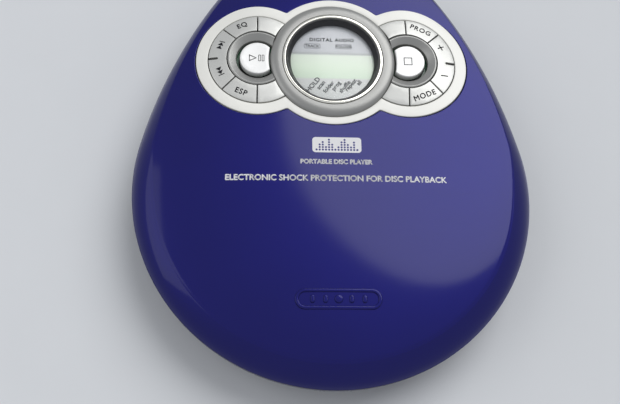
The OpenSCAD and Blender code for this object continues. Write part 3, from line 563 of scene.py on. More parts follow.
WHITE = material("white_plastic", (0.72, 0.71, 0.67), 0.42, mottle=0.05, wear=0.08, grain=0.1,
                 grain_scale=2000)
CAN = material("capacitor_can", (0.45, 0.46, 0.48), 0.35, metallic=0.9, mottle=0.08, wear=0.1,
               grain=0.1, grain_scale=1200)
PRINT = material("white_print", (0.80, 0.80, 0.82), 0.45, mottle=0.05, wear=0.08, grain=0.1,
                 grain_scale=3000)
INK = material("dark_print", (0.022, 0.022, 0.026), 0.8, mottle=0.1, wear=0.08, grain=0.1,
               grain_scale=3000, specular=0.1)
WINDOW = material("display_window", (0.80, 0.86, 0.88), 0.06, mottle=0.02, wear=0.03, grain=0.01,
                  alpha=0.08, specular=0.6)
LENS = material("lens_glass", (0.25, 0.35, 0.60), 0.05, mottle=0.05, wear=0.02, grain=0.01,
                specular=1.0, coat=1.0, coat_rough=0.02)


# ---------------------------------------------------------------------------------------------
# Camera, floor and light
CAMERA_TARGET = (-8.21, -5.46, 20.0)
CAMERA_AZIMUTH = -11.03
CAMERA_ELEVATION = 68.55
CAMERA_ROLL = 10.99
CAMERA_DISTANCE = 319.6
CAMERA_LENS = 55.19
FLOOR_HALF = 40.0
SUN_STRENGTH = 1.42
SUN_SPREAD = 46
SUN_WAY = (-0.42, -0.50, -0.80)
ROOM_STRENGTH = 0.40


def add_camera():
    (ca, sa), (ce, se), (cr, sr) = unit(CAMERA_AZIMUTH), unit(CAMERA_ELEVATION), unit(CAMERA_ROLL)
    back = Vector((sa * ce, -ca * ce, se))
    right = Vector((ca, sa, 0))
    up = back.cross(right)
    rolled_right = cr * right + sr * up
    rolled_up = cr * up - sr * right
    data = bpy.data.cameras.new("camera")
    data.lens = CAMERA_LENS
    data.sensor_width = 36
    data.clip_start = 0.01
    camera = bpy.data.objects.new("camera", data)
    scene.collection.objects.link(camera)
    turn = Matrix((rolled_right, rolled_up, back)).transposed().to_4x4()
    camera.matrix_world = Matrix.Translation(place(*CAMERA_TARGET) + back * CAMERA_DISTANCE * MM) @ turn
    scene.camera = camera


def add_area(name, where, aim, size, power):
    data = bpy.data.lights.new(name, "AREA")
    data.shape = "RECTANGLE"
    data.size, data.size_y = size
    data.energy = power
    lamp = bpy.data.objects.new(name, data)
    scene.collection.objects.link(lamp)
    lamp.location = where
    lamp.rotation_euler = (Vector(aim) - Vector(where)).to_track_quat("-Z", "Y").to_euler()


def add_stage():
    floor = material("floor", (0.72, 0.74, 0.77), 0.7, mottle=0.02, wear=0.05, grain=0.05,
                     grain_scale=300)
    mesh = bpy.data.meshes.new("floor")
    h = FLOOR_HALF
    mesh.from_pydata([(-h, -h, 0), (h, -h, 0), (h, h, 0), (-h, h, 0)], [], [(0, 1, 2, 3)])
    obj = bpy.data.objects.new("floor", mesh)
    scene.collection.objects.link(obj)
    mesh.materials.append(floor)
    add_world()
    sun = bpy.data.lights.new("sun", "SUN")
    sun.energy = SUN_STRENGTH
    sun.angle = math.radians(SUN_SPREAD)
    lamp = bpy.data.objects.new("sun", sun)
    scene.collection.objects.link(lamp)
    lamp.rotation_euler = Vector(SUN_WAY).to_track_quat("-Z", "Y").to_euler()
    add_area("fill", (-1.0, 0.1, 0.9), (0, 0, 0), (0.9, 0.9), 2.6)
    scene.view_settings.view_transform = "Standard"


def add_world():
    """An even grey room whose far wall looks about as pale as the floor, also in what it reflects."""
    world = bpy.data.worlds.new("studio")
    scene.world = world
    world.use_nodes = True
    nodes, links = world.node_tree.nodes, world.node_tree.links
    room = nodes["Background"]
    room.inputs["Color"].default_value = (0.95, 0.97, 1.0, 1)
    room.inputs["Strength"].default_value = ROOM_STRENGTH
    wall = nodes.new("ShaderNodeBackground")
    wall.inputs["Color"].default_value = (0.60, 0.62, 0.655, 1)
    wall.inputs["Strength"].default_value = 1
    path = nodes.new("ShaderNodeLightPath")
    seen = path.outputs["Is Camera Ray"]
    for kind in ("Is Glossy Ray", "Is Transmission Ray"):
        either = nodes.new("ShaderNodeMath")
        either.operation = "MAXIMUM"
        links.new(seen, either.inputs[0])
        links.new(path.outputs[kind], either.inputs[1])
        seen = either.outputs["Value"]
    mix = nodes.new("ShaderNodeMixShader")
    links.new(seen, mix.inputs["Fac"])
    links.new(room.outputs["Background"], mix.inputs[1])
    links.new(wall.outputs["Background"], mix.inputs[2])
    links.new(mix.outputs["Shader"], nodes["World Output"].inputs["Surface"])


# ---------------------------------------------------------------------------------------------
# Lid
def flank_ring(t, wall):
    """A line round the lid's sloping flank, which is a stretch of an arc: 0 is its foot, 1 its crease."""
    (c0, s0), (c1, s1), (c, s) = (unit(FLANK_A0 + (FLANK_A1 - FLANK_A0) * k) for k in (0, 1, t))
    line = flank_line((c0 - c) / (c0 - c1), wall)
    edge = flank_line(1, wall)
    rise = (s - s0) / (s1 - s0)
    return [(x, y, LID_LOW + (dome_z(*e) - wall - LID_LOW) * rise) for (x, y), e in zip(line, edge)]


def lobe_reach(x, r, a):
    """How far the edge of a circle at x lies from the origin in direction a."""
    b = x * math.cos(a)
    d = b * b - x * x + r * r
    return 0 if d < 0 else b + math.sqrt(d)


def panel_reach(a, grow):
    """How far the panel's edge lies from the display's middle, with softened notches."""
    reaches = [PANEL_R + grow, lobe_reach(LOBE_X, LOBE_R + grow, a), lobe_reach(-LOBE_X, LOBE_R + grow, a)]
    high, low = sorted(reaches)[:0:-1]
    blend = 1.2
    if high - low < blend:
        h = (blend - (high - low)) / blend
        high += h * h * blend / 4
    return high


def panel_line(grow, angles):
    """The panel's edge, moved out by grow, in the directions given in radians."""
    return [
        (panel_reach(a, grow) * math.cos(a), PANEL_Y + panel_reach(a, grow) * math.sin(a))
        for a in angles
    ]


def mix_lines(a, b, t):
    return [(x0 * (1 - t) + x1 * t, y0 * (1 - t) + y1 * t) for (x0, y0), (x1, y1) in zip(a, b)]


def on_dome(line, down=0.0):
    return [(x, y, dome_z(x, y) - down) for x, y in line]


def lid_skin():
    """Rings from the lid's lip up the flank, over the dome to the panel's opening, and back inside."""
    outer = flank_line(1, 0)
    inner = flank_line(1, LID_WALL)
    angles = [math.atan2(y - PANEL_Y, x) for x, y in outer]
    hole = panel_line(PANEL_GAP, angles)
    hole_soft = panel_line(PANEL_GAP + 0.2, angles)
    hole_near = panel_line(PANEL_GAP + 0.3, angles)
    flank_t = [0.0, 0.03, 0.08, 0.16, 0.26, 0.36, 0.48, 0.6, 0.72, 0.82, 0.9, 0.955, 0.985]
    dome_t = [0.006, 0.018, 0.035, 0.06, 0.09, 0.13, 0.18, 0.24, 0.31, 0.39, 0.48, 0.57, 0.66, 0.75,
              0.84, 0.92, 0.97]
    crease = [(x, y, z - 0.06) for x, y, z in on_dome(mix_lines(outer, hole_soft, 0.001))]
    lip = [(x, y, LID_LOW) for x, y in flank_line(0, 0.25)]
    lip_out = [(x, y, LID_LOW + 0.2) for x, y in flank_line(0, 0.0)]
    rings = [lip, lip_out]
    rings += [flank_ring(t, 0) for t in flank_t[1:]]
    rings += [crease]
    rings += [on_dome(mix_lines(outer, hole_near, t)) for t in dome_t]
    rings += [on_dome(hole_near), on_dome(hole_soft)]
    rings += [on_dome(hole, down) for down in (0.07, 0.25, LID_WALL)]
    rings += [on_dome(mix_lines(inner, hole, t), LID_WALL) for t in (0.8, 0.5, 0.2)]
    rings += [flank_ring(t, LID_WALL) for t in (1, 0.8, 0.6, 0.4, 0.2, 0)]
    return loft(rings, looped=True)


def text_mesh(words, width=None, height=1.0, bold=0.0, spacing=1.0):
    """Letters from the built-in font, centred, scaled to a width or to a capital height."""
    curve = bpy.data.curves.new("letters", "FONT")
    curve.body = words
    curve.space_character = spacing
    curve.align_x = "CENTER"
    curve.align_y = "CENTER"
    curve.resolution_u = 4
    obj = bpy.data.objects.new("letters", curve)
    scene.collection.objects.link(obj)
    bpy.context.view_layer.update()
    mesh = bpy.data.meshes.new_from_object(obj.evaluated_get(bpy.context.evaluated_depsgraph_get()))
    points = np.array([v.co[:2] for v in mesh.vertices])
    faces = [tuple(p.vertices) for p in mesh.polygons]
    bpy.data.objects.remove(obj)
    bpy.data.meshes.remove(mesh)
    low, high = points.min(0), points.max(0)
    scale = width / (high[0] - low[0]) if width else height / 0.7
    points = (points - (low + high) / 2) * scale
    # Bolder strokes come from copies moved slightly to each side.
    moves = [(bold, 0), (-bold, 0), (0, bold), (0, -bold)] if bold else [(0, 0)]
    n = len(points)
    out = [tuple(p + np.array(m)) for m in moves for p in points]
    return out, [tuple(i + k * n for i in f) for k in range(len(moves)) for f in faces]


def print_on(flat, move, top, lift):
    """Flat artwork laid just above a surface: move puts it in plan, top gives the surface's height."""
    points, faces = flat
    verts = []
    for p in points:
        x, y = move(*p)
        verts.append((x, y, top(x, y) + lift))
    return verts, faces


def shift(dx, dy, turn=0.0):
    """A move in plan: a turn about the origin, then a shift."""
    c, s = unit(turn)

    def move(x, y):
        return dx + c * x - s * y, dy + s * x + c * y

    return move


def rounded_rect(w, h, r, centre=(0, 0), step=15):
    out = []
    for sx, sy, a in ((1, 1, 0), (-1, 1, 90), (-1, -1, 180), (1, -1, 270)):
        c = (centre[0] + sx * (w / 2 - r), centre[1] + sy * (h / 2 - r))
        out += arc_points(c, r, a, a + 90, step)
    return out


def add_lid():
    piece(make_object("lid_shell_skin", *lid_skin(), LACQUER, sharp=50), "lid", "lid_lacquer", "lid_shell")
    catch = box_mesh((-4, -BELT_R + 2.7, SHELL_LOW.z / MM), (4, -BELT_R + 4.4, LID_LOW + 3.4))
    piece(make_object("lid_catch", *catch, LACQUER), "lid", "lid_lacquer")
    add_emblem()
    add_print()


def add_emblem():
    """A raised, soft-edged ring with five marks near the front stands for the moulded mark."""
    x0, y0 = 0.1, -40.6
    pitch = 4.2
    soft = 0.38

    def raised(x, y):
        return dome_z(x, y) + 0.42

    outer = rounded_rect(28.0, 6.8, 3.3, (x0, y0), 6)
    inner = rounded_rect(25.6, 4.4, 2.15, (x0, y0), 6)
    parts = [plate_mesh([outer, inner], raised, CREASE_Z, edge=soft, cell=1.2)]
    for i in (-2, -1, 0, 1, 2):
        middle = (x0 + i * pitch, y0)
        mark = rounded_rect(1.5, 2.6, 0.7, middle, 12) if i else circle_points(middle, 1.4, 40)
        parts.append(plate_mesh([mark], raised, CREASE_Z, edge=soft))
    piece(make_object("lid_emblem", *joined(parts), LACQUER, sharp=60), "lid", "lid_lacquer")


def add_print():
    """A printed badge with a dot pattern of level bars, and two plain lines of lettering."""
    badge_x, badge_y = 0.65, 12.7
    badge = rounded_rect(16.6, 5.6, 1.1, (badge_x, badge_y), 10)
    art = [print_on(fill([badge], 1.5), shift(0, 0), dome_z, 0.02)]
    lines = (
        ("PORTABLE DISC PLAYER", 24.0, 6.55, 0.12),
        ("ELECTRONIC SHOCK PROTECTION FOR DISC PLAYBACK", 74.0, 0.6, 0.10),
    )
    for words, width, y, bold in lines:
        art.append(print_on(text_mesh(words, width, bold=bold), shift(0.4, y), dome_z, 0.02))
    piece(make_object("lid_print", *joined(art), PRINT), "lid", "white_plastic")
    dots = []
    levels = (1, 3, 4, 2, 5, 3, 1, 2, 4, 5, 3, 2, 4, 1)
    for i, level in enumerate(levels):
        x = badge_x + (i - (len(levels) - 1) / 2) * 1.06
        for k in range(level):
            spot = circle_points((x, badge_y - 1.8 + k * 0.92), 0.36, 14)
            dots.append(print_on(fill([spot]), shift(0, 0), dome_z, 0.04))
    piece(make_object("lid_print_dots", *joined(dots), LACQUER), "lid", "lid_lacquer")


# ---------------------------------------------------------------------------------------------
# Control panel, bezel and display
def lobe(side):
    return (side * LOBE_X, PANEL_Y)


def flipped(loop, side):
    """Plans are drawn for the left lobe; the right one is its mirror image."""
    return loop if side < 0 else [(-x, y) for x, y in loop]


def bezel_angle(rho, clear):
    """Direction, from the left lobe's middle, in which its circle of radius rho meets the bezel."""
    c = (LOBE_X ** 2 + rho ** 2 - (BEZEL_R + clear) ** 2) / (2 * LOBE_X * rho)
    return math.degrees(math.acos(c))


def bezel_arc(p, q, clear):
    """Points along the bezel's edge from p to q."""
    a0, a1 = (math.degrees(math.atan2(y - PANEL_Y, x)) % 360 for x, y in (p, q))
    return arc_points((0, PANEL_Y), BEZEL_R + clear, a0, a1, 1.5)


def key_rise(x, y):
    """The ring of keys rises towards its inner edge."""
    rho = math.hypot(abs(x) - LOBE_X, y - PANEL_Y)
    return panel_top(x, y) + 0.12 + 0.9 * (KEYS_R - rho) / (KEYS_R - KEYS_IN)


def round_top(x, y):
    rho = math.hypot(abs(x) - LOBE_X, y - PANEL_Y)
    return PANEL_Z + 0.62 + 0.12 * (rho / ROUND_KEY_R) ** 2


def sector(a0, a1, groove=None):
    """A piece of the left key ring between two directions, with flat sides a gap from the lines."""
    r0, r1 = KEYS_IN + RING_GAP, KEYS_R - RING_GAP
    centre = lobe(-1)

    def offset(r):
        return math.degrees(math.asin(KEY_GAP / r))

    out = []
    if groove:
        mid, depth, half = groove
        cut = math.degrees(math.asin(half / r1))
        out += arc_points(centre, r1, a0 + offset(r1), mid - cut, 1.5)
        tip = np.array(centre) + (r1 - depth + half) * unit(mid)
        out += [tuple(tip + half * unit(mid - 90 - t)) for t in (0, 30, 60, 90, 120, 150, 180)]
        out += arc_points(centre, r1, mid + cut, a1 - offset(r1), 1.5)
    else:
        out += arc_points(centre, r1, a0 + offset(r1), a1 - offset(r1), 1.5)
    out += arc_points(centre, r0, a1 - offset(r0), a0 + offset(r0), 2.0)
    return out


def blank_sector():
    """The fixed piece of the left ring between the upper key and the bezel."""
    r0, r1 = KEYS_IN + RING_GAP, KEYS_R - RING_GAP
    centre = lobe(-1)
    clear = 0.1
    start0, start1 = bezel_angle(r0, clear), bezel_angle(r1, clear)
    gap = 0.2
    out = arc_points(centre, r1, start1, 90 - math.degrees(math.asin(gap / r1)), 1.5)
    out += arc_points(centre, r0, 90 - math.degrees(math.asin(gap / r0)), start0, 2.0)
    p = tuple(np.array(centre) + r0 * unit(start0))
    q = tuple(np.array(centre) + r1 * unit(start1))
    return out + bezel_arc(p, q, clear)[1:-1]


def round_plan():
    """The left round key, cut off along the bezel."""
    clear = 0.6
    start = bezel_angle(ROUND_KEY_R, clear)
    out = arc_points(lobe(-1), ROUND_KEY_R, start, 360 - start, 3)
    return out + bezel_arc(out[-1], out[0], clear)[1:-1]


def panel_opening(clear=0.05):
    """One outline round both key rings and the bezel's circle."""
    meet = bezel_angle(KEYS_R + RING_GAP, clear)
    left = arc_points(lobe(-1), KEYS_R + RING_GAP, meet, 360 - meet, 2)
    right = flipped(left, 1)
    start = math.degrees(math.atan2(right[0][1] - PANEL_Y, right[0][0]))
    end = math.degrees(math.atan2(left[0][1] - PANEL_Y, left[0][0]))
    low_side = bezel_arc(left[-1], right[-1], clear)[1:-1]
    high_side = arc_points((0, PANEL_Y), BEZEL_R + clear, start, end, 1.5)[1:-1]
    return left + low_side + right[::-1] + high_side


def add_panel():
    edge = panel_line(0, [2 * math.pi * i / 420 for i in range(420)])
    mesh = plate_mesh([edge, panel_opening()], panel_top, PANEL_LOW.z / MM + 1.2, edge=0.28, cell=1.4)
    plate = make_object("control_panel_skin", *mesh, SILVER, sharp=50)
    piece(plate, "lid", "panel_silver", "control_panel")

    blanks = []
    for side in (-1, 1):
        for flip in (1, -1):
            loop = [(x, PANEL_Y + flip * (y - PANEL_Y)) for x, y in blank_sector()]
            blanks.append(plate_mesh([flipped(loop, side)], key_rise, KEY_LOW, edge=0.16, cell=1.6))
    piece(make_object("ring_blanks", *joined(blanks), KEY_SILVER, sharp=50), "lid", "panel_silver")


def add_bezel():
    base = PANEL_Z - 1.3
    profile = [(BEZEL_R, base), (BEZEL_R, PANEL_Z + 0.02)]
    crest_r, crest_z = 18.9, PANEL_Z + 1.42
    for k in range(1, 11):
        c, s = unit(90 * k / 10)
        profile.append((crest_r + (BEZEL_R - crest_r) * c, PANEL_Z + 0.02 + 1.4 * s))
    profile += [(BRIGHT_R + 0.28, crest_z - 0.05), (BRIGHT_R + 0.14, crest_z - 0.25),
                (BRIGHT_R + 0.1, crest_z - 0.8), (BRIGHT_IN, crest_z - 0.8), (BRIGHT_IN, base)]
    mesh = revolve(profile, (0, PANEL_Y), 192)
    piece(make_object("bezel_ring_skin", *mesh, BEZEL, sharp=40), "lid", "bezel_grey", "bezel_ring")

    low, high = PANEL_Z + 0.7, PANEL_Z + 1.68
    ring = rounded([(BRIGHT_IN, low), (BRIGHT_R, low), (BRIGHT_R, high - 0.12), (BRIGHT_IN + 0.25, high),
                    (BRIGHT_IN, high - 0.3)], 0.3, 6)
    mesh = revolve(ring, (0, PANEL_Y), 192)
    piece(make_object("bright_ring_skin", *mesh, BRIGHT, sharp=60), "lid", "bright_trim", "bright_ring")

    low = PANEL_Z - 1.15
    wall = [(SCREEN_R, low), (BRIGHT_IN - 0.05, low), (BRIGHT_IN - 0.05, PANEL_Z + 1.25)]
    for k in range(0, 9):
        t = k / 8
        r = BRIGHT_IN - 0.45 - (BRIGHT_IN - 0.45 - SCREEN_R) * t
        wall.append((r, PANEL_Z + 1.25 - (PANEL_Z + 1.25 - low - 0.35) * t ** 0.8))
    collar = make_object("display_collar_skin", *revolve(wall, (0, PANEL_Y), 192), BLACK, sharp=40)
    piece(collar, "lid", "black_plastic", "display_collar")


def display_material():
    """A liquid crystal cell: a pale green band between two light grey fields, with a painted shadow line
    along the band's top edge.
    """
    m = material("display_cell", (0.6, 0.6, 0.6), 0.25, mottle=0.02, wear=0.04, grain=0.03,
                 grain_scale=900, coat=0.4, coat_rough=0.08)
    nodes, links = m.node_tree.nodes, m.node_tree.links
    where = nodes.new("ShaderNodeTexCoord")
    split = nodes.new("ShaderNodeSeparateXYZ")
    links.new(where.outputs["Object"], split.inputs["Vector"])
    span = nodes.new("ShaderNodeMapRange")
    middle = place(0, PANEL_Y, 0).y
    span.inputs["From Min"].default_value = middle - SCREEN_R * MM
    span.inputs["From Max"].default_value = middle + SCREEN_R * MM
    links.new(split.outputs["Y"], span.inputs["Value"])
    bands = nodes.new("ShaderNodeValToRGB")
    ramp = bands.color_ramp
    ramp.interpolation = "LINEAR"
    # Stops run from the cell's bottom to its top. The dark stop at 0.625, and its fade to 0.655, is a
    # painted shadow line along the top edge of the green band.
    stops = (
        (0.0, (0.72, 0.73, 0.71)), (0.285, (0.70, 0.71, 0.69)), (0.30, (0.70, 0.84, 0.66)),
        (0.45, (0.80, 0.92, 0.74)), (0.60, (0.82, 0.90, 0.77)), (0.625, (0.42, 0.44, 0.44)),
        (0.655, (0.56, 0.57, 0.60)), (1.0, (0.60, 0.61, 0.65)),
    )
    ramp.elements[0].position, ramp.elements[0].color = stops[0][0], (*stops[0][1], 1)
    ramp.elements[1].position, ramp.elements[1].color = stops[-1][0], (*stops[-1][1], 1)
    for position, color in stops[1:-1]:
        element = ramp.elements.new(position)
        element.color = (*color, 1)
    links.new(span.outputs["Result"], bands.inputs["Fac"])
    tint = next(n for n in nodes if n.type == "MIX")
    links.new(bands.outputs["Color"], tint.inputs["A"])
    return m


def add_display():
    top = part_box("display_module")[1].z / MM
    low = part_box("display_module")[0].z / MM
    disc = circle_points((0, PANEL_Y), SCREEN_R + 1.2, 144)
    mesh = plate_mesh([disc], lambda x, y: top - 0.05, low, edge=0.1)
    piece(make_object("display_cell", *mesh, display_material()), "lid", "display_green", "display_module")

    def level(x, y):
        return top - 0.03

    art = []
    labels = (("HOLD", -6.9, -8.6), ("scan", -4.0, -8.9), ("folder", -1.5, -9.4), ("prog", 1.5, -9.2),
              ("shuffle", 4.1, -9.2), ("repeat", 6.6, -8.7), ("all", 9.2, -7.6))
    for words, x, y in labels:
        size = text_mesh(words, None, 1.7 if words == "HOLD" else 1.5, bold=0.07)
        art.append(print_on(size, shift(x, PANEL_Y + y, 52), level, 0))
    for words, x in (("TRACK", -7.0), ("FOLDER", 4.2)):
        box = rounded_rect(5.8, 1.9, 0.6, (x, PANEL_Y + 6.7), 15)
        hole = rounded_rect(5.5, 1.6, 0.5, (x, PANEL_Y + 6.7), 15)
        art.append(print_on(fill([turned(box), turned(hole, False)]), shift(0, 0), level, 0))
        art.append(print_on(text_mesh(words, None, 1.1, bold=0.05), shift(x, PANEL_Y + 6.7), level, 0))
    title = text_mesh("DIGITAL AUDIO", 15.6, bold=0.09, spacing=1.2)
    art.append(print_on(title, shift(0, PANEL_Y + 9.3), level, 0))
    piece(make_object("display_marks", *joined(art), INK), "lid", "black_plastic")

    window_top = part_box("display_window")[1].z / MM
    disc = circle_points((0, PANEL_Y), SCREEN_R + 0.6, 144)
    mesh = plate_mesh([disc], lambda x, y: window_top, window_top - 0.45, edge=0.08)
    obj = make_object("display_window_skin", *mesh, WINDOW)
    obj.visible_shadow = False
    piece(obj, "lid", "display_glass", "display_window")


# ---------------------------------------------------------------------------------------------
# Keys
def polygon_art(points):
    return [tuple(p) for p in points], [tuple(range(len(points)))]


def bar_art(x0, y0, x1, y1):
    return polygon_art([(x0, y0), (x1, y0), (x1, y1), (x0, y1)])


def triangle_art(x, h, w):
    return polygon_art([(x, -h), (x + w, 0), (x, h)])


def frame_art(w, h, line):
    a = rounded_rect(w, h, 0.05, (0, 0), 45)
    b = rounded_rect(w - 2 * line, h - 2 * line, 0.04, (0, 0), 45)
    return fill([turned(a), turned(b, False)])


def outline_triangle(x, h, w, line):
    outer = [(x, -h), (x + w, 0), (x, h)]
    inner = [(x + line, -h + 1.9 * line), (x + w - 2.1 * line, 0), (x + line, h - 1.9 * line)]
    return fill([turned(outer), turned(inner, False)])


def add_keys():
    # Each key: its side, and for a ring key the directions it lies between and its groove.
    groove = (180, 3.3, 0.42)
    keys = {
        "play_key": (-1, None), "stop_key": (1, None),
        "equaliser_key": (-1, (90, 135)), "buffer_key": (-1, (225, 270)),
        "program_key": (1, (90, 135)), "mode_key": (1, (225, 270)),
        "skip_rocker": (-1, (135, 225, groove)), "volume_rocker": (1, (135, 225, groove)),
    }
    bodies = {n: b for b, ns in frame["record"]["behaviour"]["bodies"].items() for n in ns}
    for node, (side, span) in keys.items():
        loop = flipped(sector(*span) if span else round_plan(), side)
        if span:
            mesh = plate_mesh([loop], key_rise, KEY_LOW, edge=0.16, cell=1.3)
        else:
            mesh = plate_mesh([loop], round_top, KEY_LOW, edge=0.35, cell=1.0, segments=5)
        obj = make_object(node + "_skin", *mesh, KEY_SILVER if span else ROUND_SILVER, sharp=50)
        piece(obj, bodies[node], "panel_silver", node)


def on_ring(side, angle, art, turn, rho=LEGEND_R):
    """Artwork on the key ring of one lobe, in one direction from its middle."""
    x, y = np.array(lobe(side)) + rho * unit(angle)
    return print_on(art, shift(x, y, turn), key_rise, 0.05)


def add_legends():
    """The keys' legends, each riding with its own key."""
    words = {"equaliser": ("EQ", -1, 112.5, 22.5), "buffer": ("ESP", -1, 247.5, -22.5),
             "program": ("PROG", 1, 67.5, -22.5), "mode": ("MODE", 1, -67.5, 22.5)}
    legends = {
        body: [on_ring(side, angle, text_mesh(text, None, 1.9, bold=0.06, spacing=1.15), turn, 14.2)]
        for body, (text, side, angle, turn) in words.items()
    }
    plus = [bar_art(-1.25, -0.2, 1.25, 0.2), bar_art(-0.2, -1.25, 0.2, 1.25)]
    legends["volume"] = [on_ring(1, 27, art, 27) for art in plus]
    legends["volume"].append(on_ring(1, -22, bar_art(-1.3, -0.2, 1.3, 0.2), 0))
    skip = [triangle_art(x, 1.05, 1.35) for x in (-1.7, -0.3)] + [bar_art(1.15, -1.05, 1.45, 1.05)]
    legends["skip"] = [
        on_ring(-1, angle, ([(x * flip, y) for x, y in points], faces), angle - 90)
        for angle, flip in ((157, 1), (203, -1)) for points, faces in skip
    ]
    for body, art in legends.items():
        piece(make_object(body + "_legend", *joined(art), INK), body, "black_plastic")

    # Artwork on the round keys, each mark with its shift from the key's middle.
    play = [(outline_triangle(-2.9, 1.35, 2.7, 0.24), 0)]
    play += [(frame_art(0.85, 2.5, 0.2), x) for x in (0.75, 1.95)]
    stop = [(frame_art(3.0, 3.0, 0.28), 0.2)]
    for body, side, art in (("play", -1, play), ("stop", 1, stop)):
        x0, y0 = lobe(side)
        flat = [print_on(mark, shift(x0 + x, y0), round_top, 0.04) for mark, x in art]
        piece(make_object(body + "_legend", *joined(flat), INK), body, "black_plastic")


def add_collars():
    """Satin rings that slope down to a dark gap around each round key."""
    inner, outer = 7.35, KEYS_IN - 0.2
    low, top = MAT_TOP - 0.3, PANEL_Z + 1.05
    profile = rounded([(inner, low), (outer, low), (outer, top - 0.2), (KEYS_IN - 0.75, top),
                       (inner, PANEL_Z - 0.15)], 0.28, 5)
    rings = [revolve(profile, lobe(side), 160) for side in (-1, 1)]
    obj = make_object("key_collar_skin", *joined(rings), BEZEL, sharp=60)
    combine(obj, "DIFFERENCE", rod_mesh((0, PANEL_Y, 20), (0, PANEL_Y, 30), BEZEL_R + 0.05, 192))
    shade(obj, 50)
    piece(obj, "lid", "bezel_grey", "key_collars")


# ---------------------------------------------------------------------------------------------
# Bottom case
def case_ring(a, wall):
    """A line round the bowl of the case: 90 is its flat bottom, 0 its upright rim."""
    c, s = unit(a)
    line = outline(wall + BOTTOM_IN * (1 - c))
    return at_height(line, CASE_TOP - (CASE_TOP - FOOT_H - wall) * s)


def case_outside():
    return loft([case_ring(a, 0) for a in range(90, -1, -5)], capped=True)


def case_walls():
    top = [at_height(outline(0.12), CASE_TOP - 0.06), at_height(outline(0.3), CASE_TOP)]
    rings = [case_ring(a, 0) for a in range(90, 0, -5)] + [at_height(outline(0), CASE_TOP - 0.25)] + top
    return loft(rings + [case_ring(a, CASE_WALL) for a in range(0, 91, 6)], capped=True)


def upright_rods(spots, low, high, r):
    return joined([rod_mesh((x, y, low), (x, y, high), r, 64) for x, y in spots])


def case_inside(along_hinge, trough_half, screws):
    """The case's walls with its hinge trough, side flats, battery bay and screw bosses."""
    def clipped(name, mesh):
        return combine(make_object(name, *mesh), "INTERSECT", case_outside())

    obj = make_object("bottom_case_skin", *case_walls(), CASE, sharp=40)
    block = clipped("block", along_hinge(-trough_half - TROUGH_WALL, trough_half + TROUGH_WALL,
                                         TROUGH_R + TROUGH_WALL))
    flat_high = BELT_Z - 2.8
    sides = clipped("sides", joined([
        box_mesh((FLAT_X - FLAT_WALL, -18, FLAT_LOW), (FLAT_X + 0.01, 16, flat_high)),
        box_mesh((-FLAT_X - 0.01, -11, FLAT_LOW), (-FLAT_X + FLAT_WALL, 13, flat_high)),
    ]))
    bay = make_object("bay", *box_mesh(
        (-CELLS_HALF - BAY_WALL, -CELLS_FAR - BAY_WALL, FOOT_H + 0.6),
        (CELLS_HALF + BAY_WALL, -CELLS_NEAR + BAY_WALL, BAY_TOP),
    ))
    combine(bay, "DIFFERENCE", box_mesh((-CELLS_HALF, -CELLS_FAR, -1), (CELLS_HALF, -CELLS_NEAR, 30)))
    bosses = upright_rods(screws, FOOT_H + 0.4, FOOT_H + 0.4 + BOSS_H, BOSS_R)
    return combine(obj, "UNION", block, sides, bay, bosses)


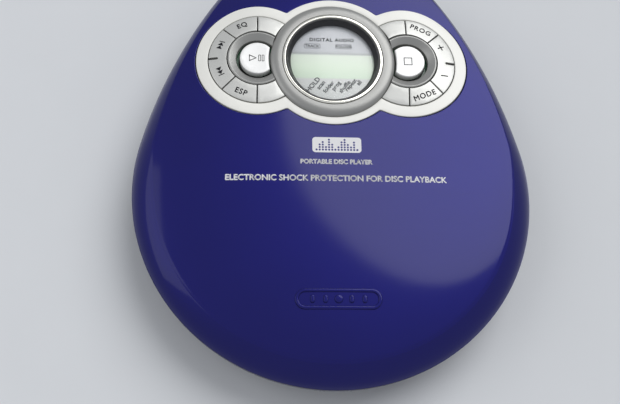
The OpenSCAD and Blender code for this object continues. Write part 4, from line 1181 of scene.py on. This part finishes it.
def add_case():
    pin_low, pin_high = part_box("hinge_pin")
    hinge_y = ((pin_low + pin_high) / 2 - AXIS).y / MM
    hinge_z = pin_low.z / MM + PIN_R
    trough_half = CORNER_C[0] + math.sqrt(CORNER_R ** 2 - (hinge_y - CORNER_C[1]) ** 2) + 1.2
    screws = [(s * x, y) for s in (-1, 1) for x, y in SCREW_SPOTS]

    def along_hinge(x0, x1, r):
        return rod_mesh((x0, hinge_y, hinge_z), (x1, hinge_y, hinge_z), r)

    obj = case_inside(along_hinge, trough_half, screws)
    sockets = [rod_mesh((FLAT_X - 5, y, SOCKET_Z), (90, y, SOCKET_Z), SOCKET_HOLE_R) for y in SOCKETS]
    combine(
        obj, "DIFFERENCE",
        along_hinge(-trough_half, trough_half, TROUGH_R),
        box_mesh((-CELLS_HALF, -CELLS_FAR, -1), (CELLS_HALF, -CELLS_NEAR, FOOT_H + CASE_WALL + 0.4)),
        upright_rods(screws, -1, 4, HEAD_R),
        # The socket flat, the sockets' holes, the hold switch's flat and slot, the opening slider's slot.
        box_mesh((FLAT_X, -16.5, SOCKET_Z - 4.2), (90, 14.5, SOCKET_Z + 4.2)),
        joined(sockets),
        box_mesh((-90, -9, SOCKET_Z - 3), (-FLAT_X, 11, SOCKET_Z + 3)),
        box_mesh((-90, -3.4, SOCKET_Z - 1.8), (-FLAT_X + 5, 6.4, SOCKET_Z + 1.8)),
        box_mesh((-11.35, -90, 8.65), (7.35, -BELT_R + 6.9, 13.35)),
    )
    ears = [sorted((s * EAR_IN, s * EAR_OUT)) for s in (-1, 1)]
    ear_low = hinge_z - TROUGH_R - 0.6
    supports = [
        box_mesh((x0, hinge_y - EAR_R, ear_low), (x1, hinge_y + EAR_R / 2, hinge_z)) for x0, x1 in ears
    ]
    combine(obj, "UNION", joined([along_hinge(x0, x1, EAR_R) for x0, x1 in ears]), joined(supports))
    combine(obj, "DIFFERENCE", along_hinge(0.6 - EAR_OUT, EAR_OUT - 0.6, PIN_R))
    shade(obj, 32)
    piece(obj, "case", "case_plastic", "bottom_case")


# ---------------------------------------------------------------------------------------------
# CAD nodes that are shown as they are, with finer edges and their own finish
def dress_nodes():
    finishes = {
        "case_plastic": CASE, "grey_plastic": GREY, "black_plastic": BLACK, "knob_grey": KNOB,
        "steel": STEEL, "spring_steel": SPRING, "board_green": BOARD, "chip_black": CHIP,
        "copper_film": COPPER, "rubber": RUBBER, "silicone": SILICONE, "white_plastic": WHITE,
        "capacitor_can": CAN, "lens_glass": LENS, "panel_silver": SILVER, "lid_lacquer": LACQUER,
        "bezel_grey": BEZEL, "bright_trim": BRIGHT, "display_glass": WINDOW, "display_green": WHITE,
    }
    slots = {s["node"]: s["material_slot"] for s in frame["record"]["subparts"]}
    for name, obj in frame["nodes"].items():
        obj.data.materials.clear()
        obj.data.materials.append(finishes[slots[name]])
        weld = obj.modifiers.new("weld", "WELD")
        weld.merge_threshold = 2e-6
        bevel = obj.modifiers.new("edges", "BEVEL")
        bevel.width = 0.00012
        bevel.segments = 2
        bevel.limit_method = "ANGLE"
        bevel.angle_limit = math.radians(35)


add_camera()
add_stage()
add_lid()
add_panel()
add_bezel()
add_display()
add_keys()
add_legends()
add_collars()
add_case()
dress_nodes()
